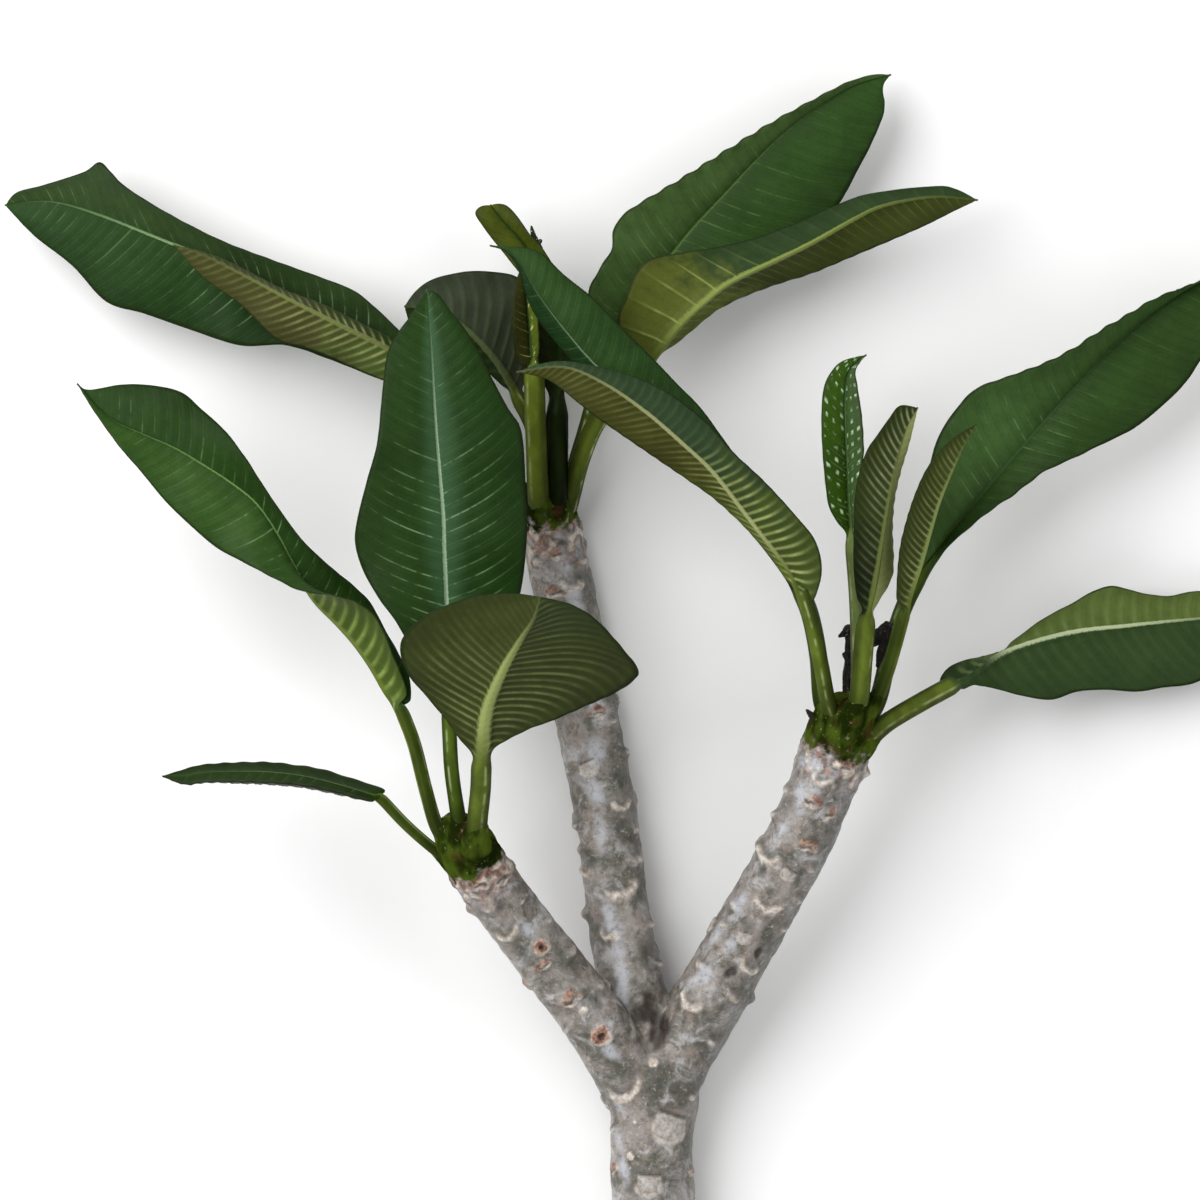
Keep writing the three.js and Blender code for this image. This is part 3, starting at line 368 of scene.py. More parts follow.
# Each point of the bark takes after its nearest limb: how near that is, which way it runs, how far below
# its green end the point lies, and that limb's pale band, rust and share of painted shade on its right
# side.
closest = np.full(len(points), np.inf)
along = np.zeros((len(points), 3))
below_tip = np.full(len(points), FAR_BELOW)
band = np.ones(len(points))
rusty = np.zeros(len(points))
flank_shade = np.zeros(len(points))
for name, knots in LIMBS.items():
    places, radii, way, run = limb_axis(knots)
    for start in range(0, len(points), POINTS_AT_ONCE):
        part = slice(start, start + POINTS_AT_ONCE)
        far = np.linalg.norm(points[part, None] - places[None], axis=2) / radii
        best = far.argmin(axis=1)
        nearest = far[np.arange(len(best)), best]
        nearer = np.where(nearest < closest[part])[0] + start
        closest[nearer] = nearest[nearer - start]
        along[nearer] = way[best[nearer - start]]
        below_tip[nearer] = run[-1] - run[best[nearer - start]] - GREEN_TIPS.get(name, -FAR_BELOW)
        band[nearer] = PALE_BANDS.get(name, 1.0)
        rusty[nearer] = RUST_BANDS.get(name, 0.0)
        flank_shade[nearer] = SHADED_FLANKS[name]

scars = []
for x, y, radius, kind in FRONT_SCARS:
    off = np.hypot(points[:, 0] - x, points[:, 1] - y)
    near = np.where(off < off.min() + SCAR_SEAT)[0]
    scars.append((near[points[near, 2].argmax()], radius, kind))
dice = np.random.default_rng(7)
for name, knots in LIMBS.items():
    places, radii, way, run = limb_axis(knots)
    turn = 0.0
    for k in range(FREE_FOOT_STEPS, len(places) - FREE_TIP_STEPS, int(BACK_SCAR_STEP / LIMB_STEP)):
        turn += BACK_SCAR_TURN
        side = unit(np.cross(way[k], (0.0, 0.0, 1.0)))
        out = math.cos(turn) * side + math.sin(turn) * np.cross(side, way[k])
        kind = dice.choice(list(BACK_SCARS))
        if out[2] < 0.1:
            foot = places[k] + out * radii[k]
            scars.append((np.linalg.norm(points - foot, axis=1).argmin(), BACK_SCARS[kind], kind))

lift = 0.7 * rough(points, 15.0) + 0.5 * rough(points, 6.0, 1.0) + 0.16 * rough(points, 2.2, 2.0)
cream, rust, dark, bloom_and_highlight, damp_and_shade = (np.zeros(len(points)) for _ in range(5))
blurred = 0.42 * rough(points, 8.0, 8.0) + 0.12 * rough(points, 3.0, 9.0)
ragged = 0.2 * rough(points, 4.0, 3.0) + 0.06 * rough(points, 1.4, 4.0)
for centre, radius, kind in scars:
    # In scar radii, a runs across the limb from the scar's middle, b along it and r all round.
    off = points - points[centre]
    out, up = normals[centre], along[centre]
    up = unit(up - out * (up @ out))
    skew = dice.uniform(-0.35, 0.35)
    up = unit(up + skew * np.cross(out, up))
    near = np.where((np.linalg.norm(off, axis=1) < 2.2 * radius) & (normals @ out > 0.1))[0]
    a = off[near] @ np.cross(out, up) / radius
    b = off[near] @ up / radius
    r = np.hypot(a, b) + ragged[near]
    if kind in ("bloom_and_highlight", "damp_and_shade"):
        patch = smoothstep(1.2 - np.hypot(1.2 * a, 0.6 * b) + 1.3 * blurred[near], 0, 1.1)
        lay(bloom_and_highlight if kind == "bloom_and_highlight" else damp_and_shade, near, patch)
        continue
    lift[near] += SWELLING * np.exp(-((a / 1.1) ** 2) - (b / 0.8) ** 2)
    if kind == "shield":
        bowl = np.hypot(a, 1.15 * np.minimum(b + 0.15, 0)) + 0.6 * ragged[near]
        top = np.exp(-((b - 0.6) / 0.12) ** 2) * smoothstep(1.0 - np.abs(a), 0, 0.3)
        disc = smoothstep(0.95 - bowl, 0, 0.2) * smoothstep(0.62 - b, 0, 0.12)
        rim = np.exp(-((bowl - 0.9) / 0.16) ** 2) * smoothstep(0.1 - b, 0, 0.5)
        lift[near] += 0.5 * disc + 0.7 * rim - 0.6 * top
        lay(bloom_and_highlight, near, 0.3 * disc)
        lay(cream, near, np.maximum(0.4 * disc, 0.75 * rim))
        # Painted shade in the groove along the top.
        lay(dark, near, 0.7 * top)
    elif kind == "crescent":
        bow = np.exp(-((r - 0.85) / 0.26) ** 2) * smoothstep(-b, -0.1, 0.5)
        lift[near] += 1.7 * bow - 0.9 * np.exp(-((r / 0.6) ** 2)) * smoothstep(b, -0.5, 0.2)
        lay(cream, near, bow)
        shadow = np.exp(-((r - 0.45) / 0.2) ** 2) * smoothstep(-b, -0.2, 0.3)
        lay(dark, near, 0.5 * shadow * (1 - bow))
    elif kind == "pit":
        hole = smoothstep(0.36 - r, 0, 0.2)
        ring = smoothstep(1.0 - r, 0, 0.3) * (1 - hole)
        lift[near] += 0.6 * ring - 1.6 * hole
        lay(rust, near, smoothstep(0.85 - r + 0.2 * b, 0, 0.2))
        lay(cream, near, 0.8 * ring * smoothstep(r - 0.3 * b, 0.5, 0.7))
        # Painted shade darkens the hole.
        lay(dark, near, 0.9 * hole)
    elif kind == "rust":
        torn = 3.3 * ragged[near]
        patch = smoothstep(0.8 - np.hypot(0.8 * a, 1.1 * b) + torn, 0, 0.3)
        crack = np.exp(-(((b + 0.1 + torn / 2) / 0.16) ** 2)) * smoothstep(0.8 - np.abs(a), 0, 0.4)
        lift[near] += 0.6 * patch - 0.7 * crack
        lay(rust, near, patch * smoothstep(torn + 0.6 * b, -0.5, 0.4))
        lay(cream, near, 0.9 * patch * smoothstep(torn + b, 0.5, -0.4))
        # Painted shade darkens the crack.
        lay(dark, near, 0.9 * crack * patch)
    elif kind == "knob":
        lift[near] += 1.9 * np.exp(-1.8 * ((b + 0.2) ** 2 + 0.4 * a * a))
        lay(cream, near, 0.8 * smoothstep(0.75 - r, 0, 0.4) * smoothstep(-b, -0.35, 0.35))
        lay(dark, near, 0.3 * np.exp(-(((b - 0.6) / 0.3) ** 2 + a * a)))
    elif kind == "hollow":
        lift[near] -= (1.4 + SWELLING) * np.exp(-1.5 * r * r)
        soft = 1.0 - np.hypot(1.3 * a, 0.8 * b) + 1.2 * blurred[near]
        # Painted shade darkens the dip.
        lay(dark, near, 0.92 * smoothstep(soft, -0.1, 0.5))
    else:
        lay(cream, near, smoothstep(0.8 - r, 0, 0.3))

# The green ends and cushions, the flaking pale band below them with its rusty collar, painted shade on the
# limbs' right sides, turned away from the key lamp, and the sawn foot of the trunk, which stays flat.
green = smoothstep(30 * ragged - below_tip, -2, 2)
green = np.maximum(green, smoothstep(closest, 1.25, 1.45) * (below_tip < 10))
lift += green * (0.7 * rough(points * (1, 0.4, 1), 4.5, 5.0) + 0.3)
scales = rough(points, 5.0, 11.0)
pale = (1 - green) * smoothstep(below_tip, -1, 1) * smoothstep(band - below_tip, 0, 0.8 * band)
cream = np.maximum(cream, 0.85 * pale * smoothstep(scales, 0.0, 0.35))
bloom_and_highlight = np.maximum(bloom_and_highlight, 0.8 * pale * smoothstep(-scales, 0.05, 0.45))
lift += 1.2 * pale * smoothstep(scales, -0.25, 0.4)
rust = np.maximum(rust, 0.8 * pale * smoothstep(rough(points, 4.0, 6.0) + rusty, 0.15, 0.35))
dark = np.maximum(dark, 1.6 * rusty * pale * smoothstep(rough(points, 3.0, 7.0), 0.1, 0.35))
collar = (1 - green) * np.exp(-((below_tip - 1.0) / 3.0) ** 2)
rust = np.maximum(rust, collar * smoothstep(rough(points, 3.5, 12.0), -0.35, 0.1))
dark = np.maximum(dark, 0.6 * collar * smoothstep(rough(points, 3.0, 13.0), 0.0, 0.4))
# Painted shade: points facing right and down, away from the key lamp, are darkened.
shaded_side = normals @ unit(np.array((0.85, -0.3, -0.2)))
damp_and_shade = np.maximum(damp_and_shade, flank_shade * smoothstep(shaded_side + 0.5 * blurred, 0.25, 0.85))
foot, core = np.array(LIMBS["trunk"][0][:3]), LIMBS["trunk"][0][3]
sawn = smoothstep(foot[1] + 0.9 - points[:, 1], 0, 0.6)
ring = np.linalg.norm((points - foot)[:, [0, 2]], axis=1) / core
lift *= 1 - sawn
points += normals * lift[:, None]
points[:, 2] = np.maximum(points[:, 2], 0.0)
move_points(wood, points)
shown = {"cream": cream, "rust": rust, "dark": dark, "green": green, "bloom_and_highlight": bloom_and_highlight, "damp_and_shade": damp_and_shade,
         "sawn": sawn, "ring": ring}
for name, values in shown.items():
    mark(wood, name, values)

# The bark's colours from its grey ground up: weathered patches, bluish-white patches of painted highlight,
# painted shade on the right sides, a pale bluish sheen that is in part painted highlight, and cracks, then
# what the scars left, the green ends and the sawn wood with its pith.
bark = Finish("plumeria_bark")
clouds = bark.noise(20.0, 6.0, 0.65)
grain = bark.noise(3.0, 7.0, 0.75)
colour = bark.over(bark.step(clouds, 0.4, 0.58), "5e5a52", "8f8882")
colour = bark.over(bark.step(bark.noise(7.0, 4.0, 0.6), 0.5, 0.64, 0, 0.7), colour, "87796f")
colour = bark.over(bark.step(bark.noise(9.0, 5.0, 0.7, distortion=1.2), 0.5, 0.64, 0, 0.62),
                   colour, "3f4231")
# Bluish-white patches strewn at random: a painted highlight.
colour = bark.over(bark.step(bark.noise(13.0, 5.0, 0.65, distortion=0.6), 0.51, 0.68, 0, 0.68),
                   colour, "bdbcbe")
# Painted shade: the dark places and the limbs' right sides.
colour = bark.over(bark.times(bark.read("damp_and_shade"), 0.75), colour, "41443a")
# A pale bluish sheen over the pale places: painted highlight on the arms' lit side, the tissue's own pallor
# in the pale bands and on shields.
haze_and_highlight = bark.times(bark.read("bloom_and_highlight"), bark.step(grain, 0.3, 0.55, 0.5, 0.75))
colour = bark.over(haze_and_highlight, colour, "bfc1c8")
colour = bark.darker(bark.step(grain, 0.5, 0.36, 0, 0.6), colour, 0.45)
colour = bark.over(bark.step(grain, 0.55, 0.7, 0, 0.6), colour, "b9b6b0")
colour = bark.over(bark.step(bark.noise(3.6, 3.0, distortion=0.8), 0.64, 0.74, 0, 0.5), colour, "c9c2b8")
colour = bark.over(bark.read("rust"), colour, bark.over(bark.step(grain, 0.4, 0.6), "63382a", "a5806a"))
colour = bark.over(bark.read("cream"), colour, bark.over(bark.step(grain, 0.4, 0.6), "a89a8c", "ddd6cc"))
colour = bark.over(bark.read("dark"), colour, "2a1d16")
moss = bark.over(bark.step(bark.noise(10.0, 3.0, 0.5, stretch=(1, 0.5, 1)), 0.38, 0.62),
                 "1a2307", "445318")
moss = bark.over(bark.step(bark.noise(9.0, 3.0, distortion=0.6), 0.56, 0.7, 0, 0.7), moss, "40261a")
moss = bark.over(bark.step(bark.noise(5.0, 3.0), 0.6, 0.72, 0, 0.5), moss, "375817")
moss = bark.over(bark.step(bark.noise(2.6, 2.0), 0.64, 0.72, 0, 0.4), moss, "8b9a6c")
colour = bark.over(bark.read("green"), colour, moss)
pith = bark.over(bark.step(grain, 0.4, 0.62), "a39a6c", "cfc79c")
pith = bark.over(bark.step(bark.read("ring"), 0.24, 0.12), pith, "7d5f3c")
pith = bark.over(bark.step(bark.read("ring"), 0.84, 0.9), pith, "6d7440")
colour = bark.over(bark.read("sawn"), colour, pith)
height = bark.math("ADD", grain, bark.times(bark.noise(0.9, 3.0), 0.4))
bare = bark.math("SUBTRACT", 1.0, bark.read("green"))
shine = bark.step(clouds, 0.35, 0.65, 0.42, 0.3)
gleam = bark.times(bare, 0.45)
wood.data.materials.append(bark.done(colour, height, 0.5, Roughness=shine, Specular_IOR_Level=gleam))
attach(wood, "root")
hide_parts("stem")

# The leaves: long leathery blades on stout stalks, dark and half glossy above, paler and ribbed
# below. Each has one thick rib, side veins that run straight out from it and bend forward near
# the margin, and a margin that waves a little. Each grew out of the wood at the tip of an arm.
BLADE = 0.9
TIP_RADIUS = 0.5
RIB_SHARE = 0.42
RIB_FALL = 0.95
MELT_WIDTH = 3.0
WIDEST, FULLNESS = 0.85, 0.75
WAVES, WAVE_LAG = 5, 1.7
LEAF_STEP = 0.8
WING_COLUMNS = 20
VEIN_GAP = 6.6
VEIN_LEAN = 0.42
VEIN_BEND = 0.16
QUILT = 0.3
SCALLOP = 0.2
EASE = 7.0
FLOOR_GAP = 0.05


def eased(values, span):
    """Values smoothed along a leaf over about span places, with their ends kept."""
    reach = max(1, int(span * 2.5))
    weights = np.exp(-0.5 * (np.arange(-reach, reach + 1) / max(span, 0.1)) ** 2)
    weights /= weights.sum()
    first, last = 2 * values[:1] - values[reach:0:-1], 2 * values[-1:] - values[-2:-reach - 2:-1]
    padded = np.concatenate([first, values, last])
    flat = padded.reshape(len(padded), -1)
    return np.stack([np.convolve(c, weights, "valid") for c in flat.T], 1).reshape(values.shape)


def leaf_rings(shape):
    """A leaf's stations along its stalk and rib, and its two wings as vectors from the rib."""
    stalk_count = int(path_length(shape["stalk"]) / LEAF_STEP)
    rib_count = int(path_length(shape["rib"]) / LEAF_STEP)
    v = np.linspace(0, 1, rib_count)
    rib = smooth_path(shape["rib"], v)
    stalk = smooth_path(shape["stalk"], np.linspace(0, 1, stalk_count, endpoint=False))
    places = eased(np.vstack([stalk, rib]), 3)
    way = unit(np.gradient(places, axis=0))
    width = np.sin(math.pi * v ** WIDEST) ** FULLNESS
    base, tip = shape["rib"][0][:2], shape["rib"][-1][:2]
    wings = []
    for side, lag in (("left", 0.0), ("right", WAVE_LAG)):
        margin = smooth_path([(x, y, 0.0) for x, y in (base, *shape[side], tip)], v)
        flat = (margin - rib) * (1, 1, 0)
        rise = np.sqrt(np.maximum(0, (shape["half"] * width) ** 2 - (flat ** 2).sum(axis=1)))
        lifts = shape.get(side + "_lift") or shape["lift"]
        lift = np.interp(v, np.linspace(0, 1, len(lifts)), lifts)
        ripple = shape["wave"] * np.sin(2 * math.pi * WAVES * v + lag) * width
        flat[:, 2] = eased(lift * rise, EASE) + ripple
        flat[0] = flat[-1] = 0
        wings.append(np.vstack([np.zeros((stalk_count, 3)), flat]))
    along = np.concatenate([np.linspace(-1, 0, stalk_count, endpoint=False), v])
    return places, way, wings, along, stalk_count


def grow(name, top, under, **shape):
    """One leaf from its stalk beyond its foot, its rib and the margins between the rib's ends, in
    millimetres. half is a wing's true width, and a lift above 0 raises the wing. stalk_radius is only given
    where the stalk is thicker than its foot."""
    *foot, foot_radius = LEAF_FEET[name]
    shape["stalk"] = [*foot, *shape["stalk"]]
    full_radius = shape.get("stalk_radius", foot_radius)
    places, way, (left, right), along, stalk_count = leaf_rings(shape)
    v = np.clip(along, 0, 1)
    open_left, open_right = (unit(w[np.interp(np.clip(v, 0.12, 0.88), v[stalk_count:],
                             np.arange(stalk_count, len(v))).astype(int)]) for w in (left, right))
    side = open_right - open_left
    side = unit(eased(unit(side - way * (side * way).sum(axis=1, keepdims=True)), EASE))
    up = unit(np.cross(side, way))
    stalk_radius = full_radius * (1 + 0.1 * smoothstep(-along, 0.6, 1.0))
    share = shape.get("rib_share", RIB_SHARE)
    rib_radius = full_radius * share * (1 - v) ** RIB_FALL + TIP_RADIUS
    handover = smoothstep(along, -0.05, 0.16)
    radius = stalk_radius * (1 - handover) + rib_radius * handover
    normals, widths, flatness = [], [], []
    for out, turn in ((left, -1), (right, 1)):
        normal = np.cross(out, way) * turn
        normal = np.where(np.linalg.norm(normal, axis=1, keepdims=True) < 0.5, up, unit(normal))
        width = np.linalg.norm(out, axis=1)
        normals.append(unit(eased(normal, EASE)))
        widths.append(width)
        flatness.append(smoothstep(width, 0, MELT_WIDTH * radius))
    crest = unit(normals[0] + normals[1] + 0.02 * (left + right))
    run = np.maximum(along, 0) * path_length(shape["rib"])

    # One ring runs over the upper face from the left margin to the right one, and back below.
    reach = (np.arange(WING_COLUMNS + 1) / WING_COLUMNS) ** 1.5
    columns = np.concatenate([-reach[:0:-1], reach])
    faces_up = np.concatenate([np.ones(len(columns)), -np.ones(len(columns))])
    columns = np.concatenate([columns, columns[::-1]])
    which = (columns > 0).astype(int)
    across = np.abs(columns)[None, :]
    out = np.stack([left, right])[which].transpose(1, 0, 2)
    width = np.stack(widths)[which].T
    melt = np.stack(flatness)[which].T
    from_rib = across * width
    near_rib = np.exp(-(from_rib / (1.1 * radius[:, None])) ** 2)[..., None]
    normal = np.stack(normals)[which].transpose(1, 0, 2)
    normal = unit(normal * (1 - near_rib) + crest[:, None] * near_rib)

    # The side veins, counted by rank, the quilting between them, the scalloped margin, and the rib,
    # which is a groove above and a ridge below.
    gap = np.array(shape.get("gap", (VEIN_GAP, VEIN_GAP)))[which]
    half = np.maximum(width, 1.0)
    lean = np.array(shape.get("lean", (VEIN_LEAN, VEIN_LEAN)))[which]
    bend = np.array(shape.get("bend", (VEIN_BEND, VEIN_BEND)))[which]
    rank = (run[:, None] - from_rib * lean - bend * half * across ** 3) / gap + 0.5 * which
    inside = smoothstep(across, 0.03, 0.2) * smoothstep(1 - across, 0.0, 0.12)
    inside = inside * smoothstep(v, 0, 0.05)[:, None]
    bulge = shape.get("quilt", QUILT) * (np.abs(np.sin(math.pi * rank)) - 0.6) * inside * melt
    bulge *= np.clip(half / 20, 0.3, 1)
    notch = np.sin(math.pi * rank + 14 * v[:, None]) * smoothstep(across, 0.8, 1.0) * melt
    scallop = shape.get("scallop", SCALLOP) * np.clip(half / 20, 0.2, 1) * notch
    arch = shape["cup"] * width * 4 * across * (1 - across)
    thick = BLADE / 2 * np.sqrt(1 - 0.8 * across ** 10)
    ridge = 0.35 * smoothstep(0.12 - np.abs(rank - np.round(rank)), 0, 0.12) * inside
    groove = 0.5 * np.exp(-(from_rib / (0.45 * rib_radius[:, None])) ** 2)
    groove = groove * smoothstep(v, 0.02, 0.1)[:, None]
    round_rib = np.sqrt(np.maximum(0, 1 - (from_rib / (1.25 * rib_radius[:, None])) ** 2))
    below = -thick - ridge - np.maximum(0, rib_radius[:, None] - thick) * round_rib
    height = arch + bulge + scallop + np.where(faces_up > 0, thick - groove, below)
    blade = places[:, None] + out * across[..., None] + normal * height[..., None]

    # The round stalk, into which the blade melts where its wings are narrow.
    angle = math.pi / 2 * (1 - 0.985 * columns)
    angle = np.where(faces_up > 0, angle, -angle)
    round_out = np.cos(angle)[None, :, None] * side[:, None] + np.sin(angle)[None, :, None] * up[:, None]
    round_stalk = places[:, None] + round_out * radius[:, None, None]
    points = round_stalk * (1 - melt[..., None]) + blade * melt[..., None]
    count = len(columns)
    points = points.reshape(-1, 3)
    points[:, 2] = np.maximum(points[:, 2], FLOOR_GAP)
    leaf = new_piece("blade_" + name, points, ring_faces(len(places), count))

    shown = {"across": np.broadcast_to(columns, melt.shape), "rank": rank, "from_rib": from_rib
             / rib_radius[:, None], "along": np.broadcast_to(along[:, None], melt.shape)}
    for word, values in shown.items():
        mark(leaf, word, np.asarray(values, float).ravel())
    leaf.data.materials.append(leaf_finish(name + "_top", **top))
    leaf.data.materials.append(leaf_finish(name + "_under", **under))
    lower = np.tile(np.arange(count) >= count // 2, len(places) - 1)
    leaf.data.polygons.foreach_set("material_index", np.concatenate([lower, [0, 0]]).astype(int))
    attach(leaf, "root")
    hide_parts(name)


def leaf_finish(name, left, right, vein, rib, stalk, edge="1d2810", vein_width=0.1, vein_share=0.6,
                shade=0.6, rib_width=0.7, rib_share=0.9, sheen=None, gloss=0.4, even=0.1, torn=0.2,
                beads=None, bead_shares=(1.0, 1.0), bead_rows=3.0, to_tip=(0.35, 0.35),
                fades=(0.3, 0.75), tip_left=None, tip_right=None, turns=(0.22, 0.5), rib_from=-1.0,
                glint=0.45, vein_sides=(1.0, 1.0)):
    """One face of a leaf: its colours left and right of the rib, near its base and its tip, with its veins,
    beads of painted glints, rib and stalk. The pairs bead_shares, to_tip and vein_sides are for the left
    and the right. The pairs fades and turns say where along the rib the veins fade and the colours turn
    into those of the tip."""
    skin = Finish(name, Roughness=gloss, Specular_IOR_Level=0.06)
    across, rank = skin.read("across"), skin.read("rank")
    along, from_rib = skin.read("along"), skin.read("from_rib")
    outward = skin.math("ABSOLUTE", across)
    patches = skin.noise(16.0, 4.0, 0.6)
    fine = skin.noise(1.3, 4.0, 0.6)
    ahead = skin.step(skin.math("ADD", along, skin.step(patches, 0.3, 0.7, -0.08, 0.08)), *turns)
    left_side = skin.over(ahead, left, tip_left or left)
    right_side = skin.over(ahead, right, tip_right or right)
    colour = skin.over(skin.step(across, -0.02, 0.02), left_side, right_side)
    colour = skin.darker(skin.step(patches, 0.42, 0.62, 0, 0.4), colour, shade)
    colour = skin.darker(skin.step(outward, 0.45, 1.0, 0, 0.5), colour, shade)
    colour = skin.darker(skin.step(fine, 0.5, 0.35, 0, 0.3), colour, shade)
    if sheen:
        colour = skin.over(skin.step(outward, 0.35, 0.02, 0, 0.5), colour, sheen)
    # The side veins, each of its own strength, which fade towards the margin and the tip.
    beside = skin.math("PINGPONG", rank, 0.5)
    line = skin.step(beside, vein_width, vein_width * 0.1)
    each = skin.node("TexWhiteNoise", {1: skin.math("ROUND", rank)}, 0, noise_dimensions="1D")
    each = skin.step(each, 0, 1, even, 1.0)
    broken = skin.step(skin.noise(9.0, 3.0, 0.6), 0.42, 0.6, torn, 1.0)
    fade = skin.times(skin.step(outward, 0.95, 0.35, 0.08, 1.0), broken)
    strength = skin.times(skin.times(fade, each), vein_share)
    strength = skin.times(strength, skin.step(across, -0.02, 0.02, *vein_sides))
    weakest = skin.step(across, -0.02, 0.02, *to_tip)
    strength = skin.times(strength, skin.step(along, fades[1], fades[0], weakest, 1.0))
    colour = skin.over(skin.times(line, strength), colour, vein)
    valley = skin.step(beside, 0.3, 0.5, 0, 0.25)
    colour = skin.darker(valley, colour, shade)
    # Beads: rows of small painted glints between the veins.
    if beads:
        rows = skin.math("PINGPONG", skin.times(outward, bead_rows), 0.5)
        bead = skin.times(skin.step(beside, 0.25, 0.4), skin.step(rows, 0.2, 0.4))
        some = skin.times(each, skin.step(skin.noise(4.0), 0.42, 0.58, 0.0, 1.0))
        some = skin.times(some, skin.step(across, -0.02, 0.02, *bead_shares))
        colour = skin.over(skin.times(bead, some), colour, beads)
    # The dark hem, then the stalk with its long glint, painted shade along its sides and towards its foot,
    # and the rib that it runs on into.
    hem = skin.step(outward, 0.94, 0.985, 0, 0.75)
    colour = skin.over(hem, colour, edge)
    stalk_colour = skin.over(skin.step(skin.noise(9.0, 4.0, stretch=(1, 0.5, 1)), 0.36, 0.66),
                             paint(stalk, 0.65), stalk)
    streak = skin.step(skin.math("ABSOLUTE", skin.math("ADD", across, 0.3)), 0.16, 0.0, 0, glint)
    streak = skin.times(streak, skin.step(skin.noise(11.0, 3.0), 0.42, 0.6))
    stalk_colour = skin.over(streak, stalk_colour, "b7c494")
    # Painted shade along the stalk's sides.
    stalk_colour = skin.darker(skin.step(outward, 0.25, 0.7, 0, 0.8), stalk_colour, 0.35)
    # Painted shade towards the stalk's foot, where the stalks crowd together.
    stalk_colour = skin.darker(skin.step(along, -0.5, -0.95, 0, 0.85), stalk_colour, 0.3)
    ridge_end = skin.math("ADD", from_rib, skin.step(fine, 0.35, 0.65, -0.1, 0.1))
    on_rib = skin.times(skin.step(ridge_end, rib_width, rib_width * 0.5),
                        skin.step(along, 1.0, 0.5, 0.1, rib_share))
    on_rib = skin.times(on_rib, skin.step(along, rib_from, rib_from + 0.1))
    rib_colour = skin.over(skin.step(along, 0.25, 0.0), rib, stalk_colour)
    colour = skin.over(on_rib, colour, rib_colour)
    colour = skin.over(skin.step(along, 0.04, -0.06), colour, stalk_colour)
    height = skin.math("ADD", skin.times(line, 0.5), skin.times(fine, 0.6))
    return skin.done(colour, height, 0.2)


# The looks of an upper and a lower face. Each leaf names its own colours and what else differs.
UPPER = dict(left="243814", right="223412", vein="84a474", rib="5e7c46", stalk="4c601a",
             sheen="283f1c", vein_share=0.7, torn=0.05, rib_width=0.6)
LOWER = dict(left="353f1c", right="303a18", vein="7e8a44", rib="6c7a3c", stalk="5c6c24",
             vein_width=0.3, shade=0.64, gloss=0.46, even=0.6, rib_width=1.25, torn=0.6)

# The left arm's whorl: four leaves. One stands up towards the viewer and shows its ribbed back.
grow(
    "left_leaf_1",
    top=dict(UPPER, left="335020", right="233d13", rib="6c8e50"),
    under=dict(LOWER, left="4a5c25", right="41571e", vein="9aae5c"),
    stalk=[(-105.5, -60.5, 88), (-111, -38.5, 88), (-117.5, -21, 88)],
    rib=[(-117.5, -21, 88), (-124.5, -12.5, 87), (-132, 0.5, 87), (-140.5, 12.5, 87), (-150, 23, 87),
        (-160.5, 33.5, 88), (-169.5, 47.5, 90), (-179, 66, 92), (-189.5, 82, 94), (-201.5, 92, 94),
        (-215.5, 101, 93), (-231, 110, 91), (-248.5, 117.5, 88), (-264.5, 125.5, 84),
        (-279.5, 142, 79)],
    left=[(-115, -11), (-121.5, 6.5), (-128.5, 23), (-137.5, 32), (-150, 36), (-167, 38.5),
        (-182, 45.5), (-195.5, 52.5), (-209.5, 60), (-221.5, 70), (-235, 83), (-247, 97.5),
        (-259, 111.5), (-270.5, 127.5)],
    right=[(-113, -16), (-114, -3), (-120, 9), (-126.5, 20.5), (-133, 32.5), (-142, 41.5), (-154, 51.5),
        (-166, 63), (-176, 76), (-185.5, 90), (-195.5, 105.5), (-205.5, 118.5), (-217.5, 129.5),
        (-227, 137.5), (-241, 141), (-257, 141.5), (-273.5, 139)],
    left_lift=(1, 0.9, 0.6, 0.5, 0.5), right_lift=(-1, -0.5, 0.2, 0.4, 0.4),
    half=31, wave=0.8, cup=0.05)
grow(
    "left_leaf_2",
    top=dict(UPPER, left="253d17", right="1f3912", rib="93aa8c", rib_width=0.85, rib_share=0.8,
             sheen="3f6241"),
    under=dict(LOWER, left="3a471b", right="2b3810"),
    stalk=[(-92.5, -51, 95), (-93.5, -33.5, 95), (-94, -22, 95)],
    rib=[(-94, -22, 95), (-94.5, 4, 96), (-95, 32.5, 98), (-96, 59, 101), (-96.5, 76, 102),
        (-98.5, 99.5, 102), (-100.5, 123.5, 100), (-102.5, 159, 94), (-105, 189, 86)],
    left=[(-106, -3.5), (-118.5, 20.5), (-128.5, 34.5), (-136.5, 48.5), (-140.5, 62), (-139.5, 74),
        (-134.5, 94), (-129.5, 112.5), (-127, 138), (-124.5, 157), (-119.5, 167), (-113, 176)],
    right=[(-83.5, -8.5), (-69.5, 11.5), (-59, 34), (-55, 64), (-55.5, 90), (-57.5, 117.5),
        (-64.5, 130), (-72, 144), (-78.5, 157), (-86, 169.5), (-92.5, 177.5), (-99, 186.5)],
    lift=(0.3, 0.3, 0.3, 0.2), half=43, wave=0.8, cup=0.05)
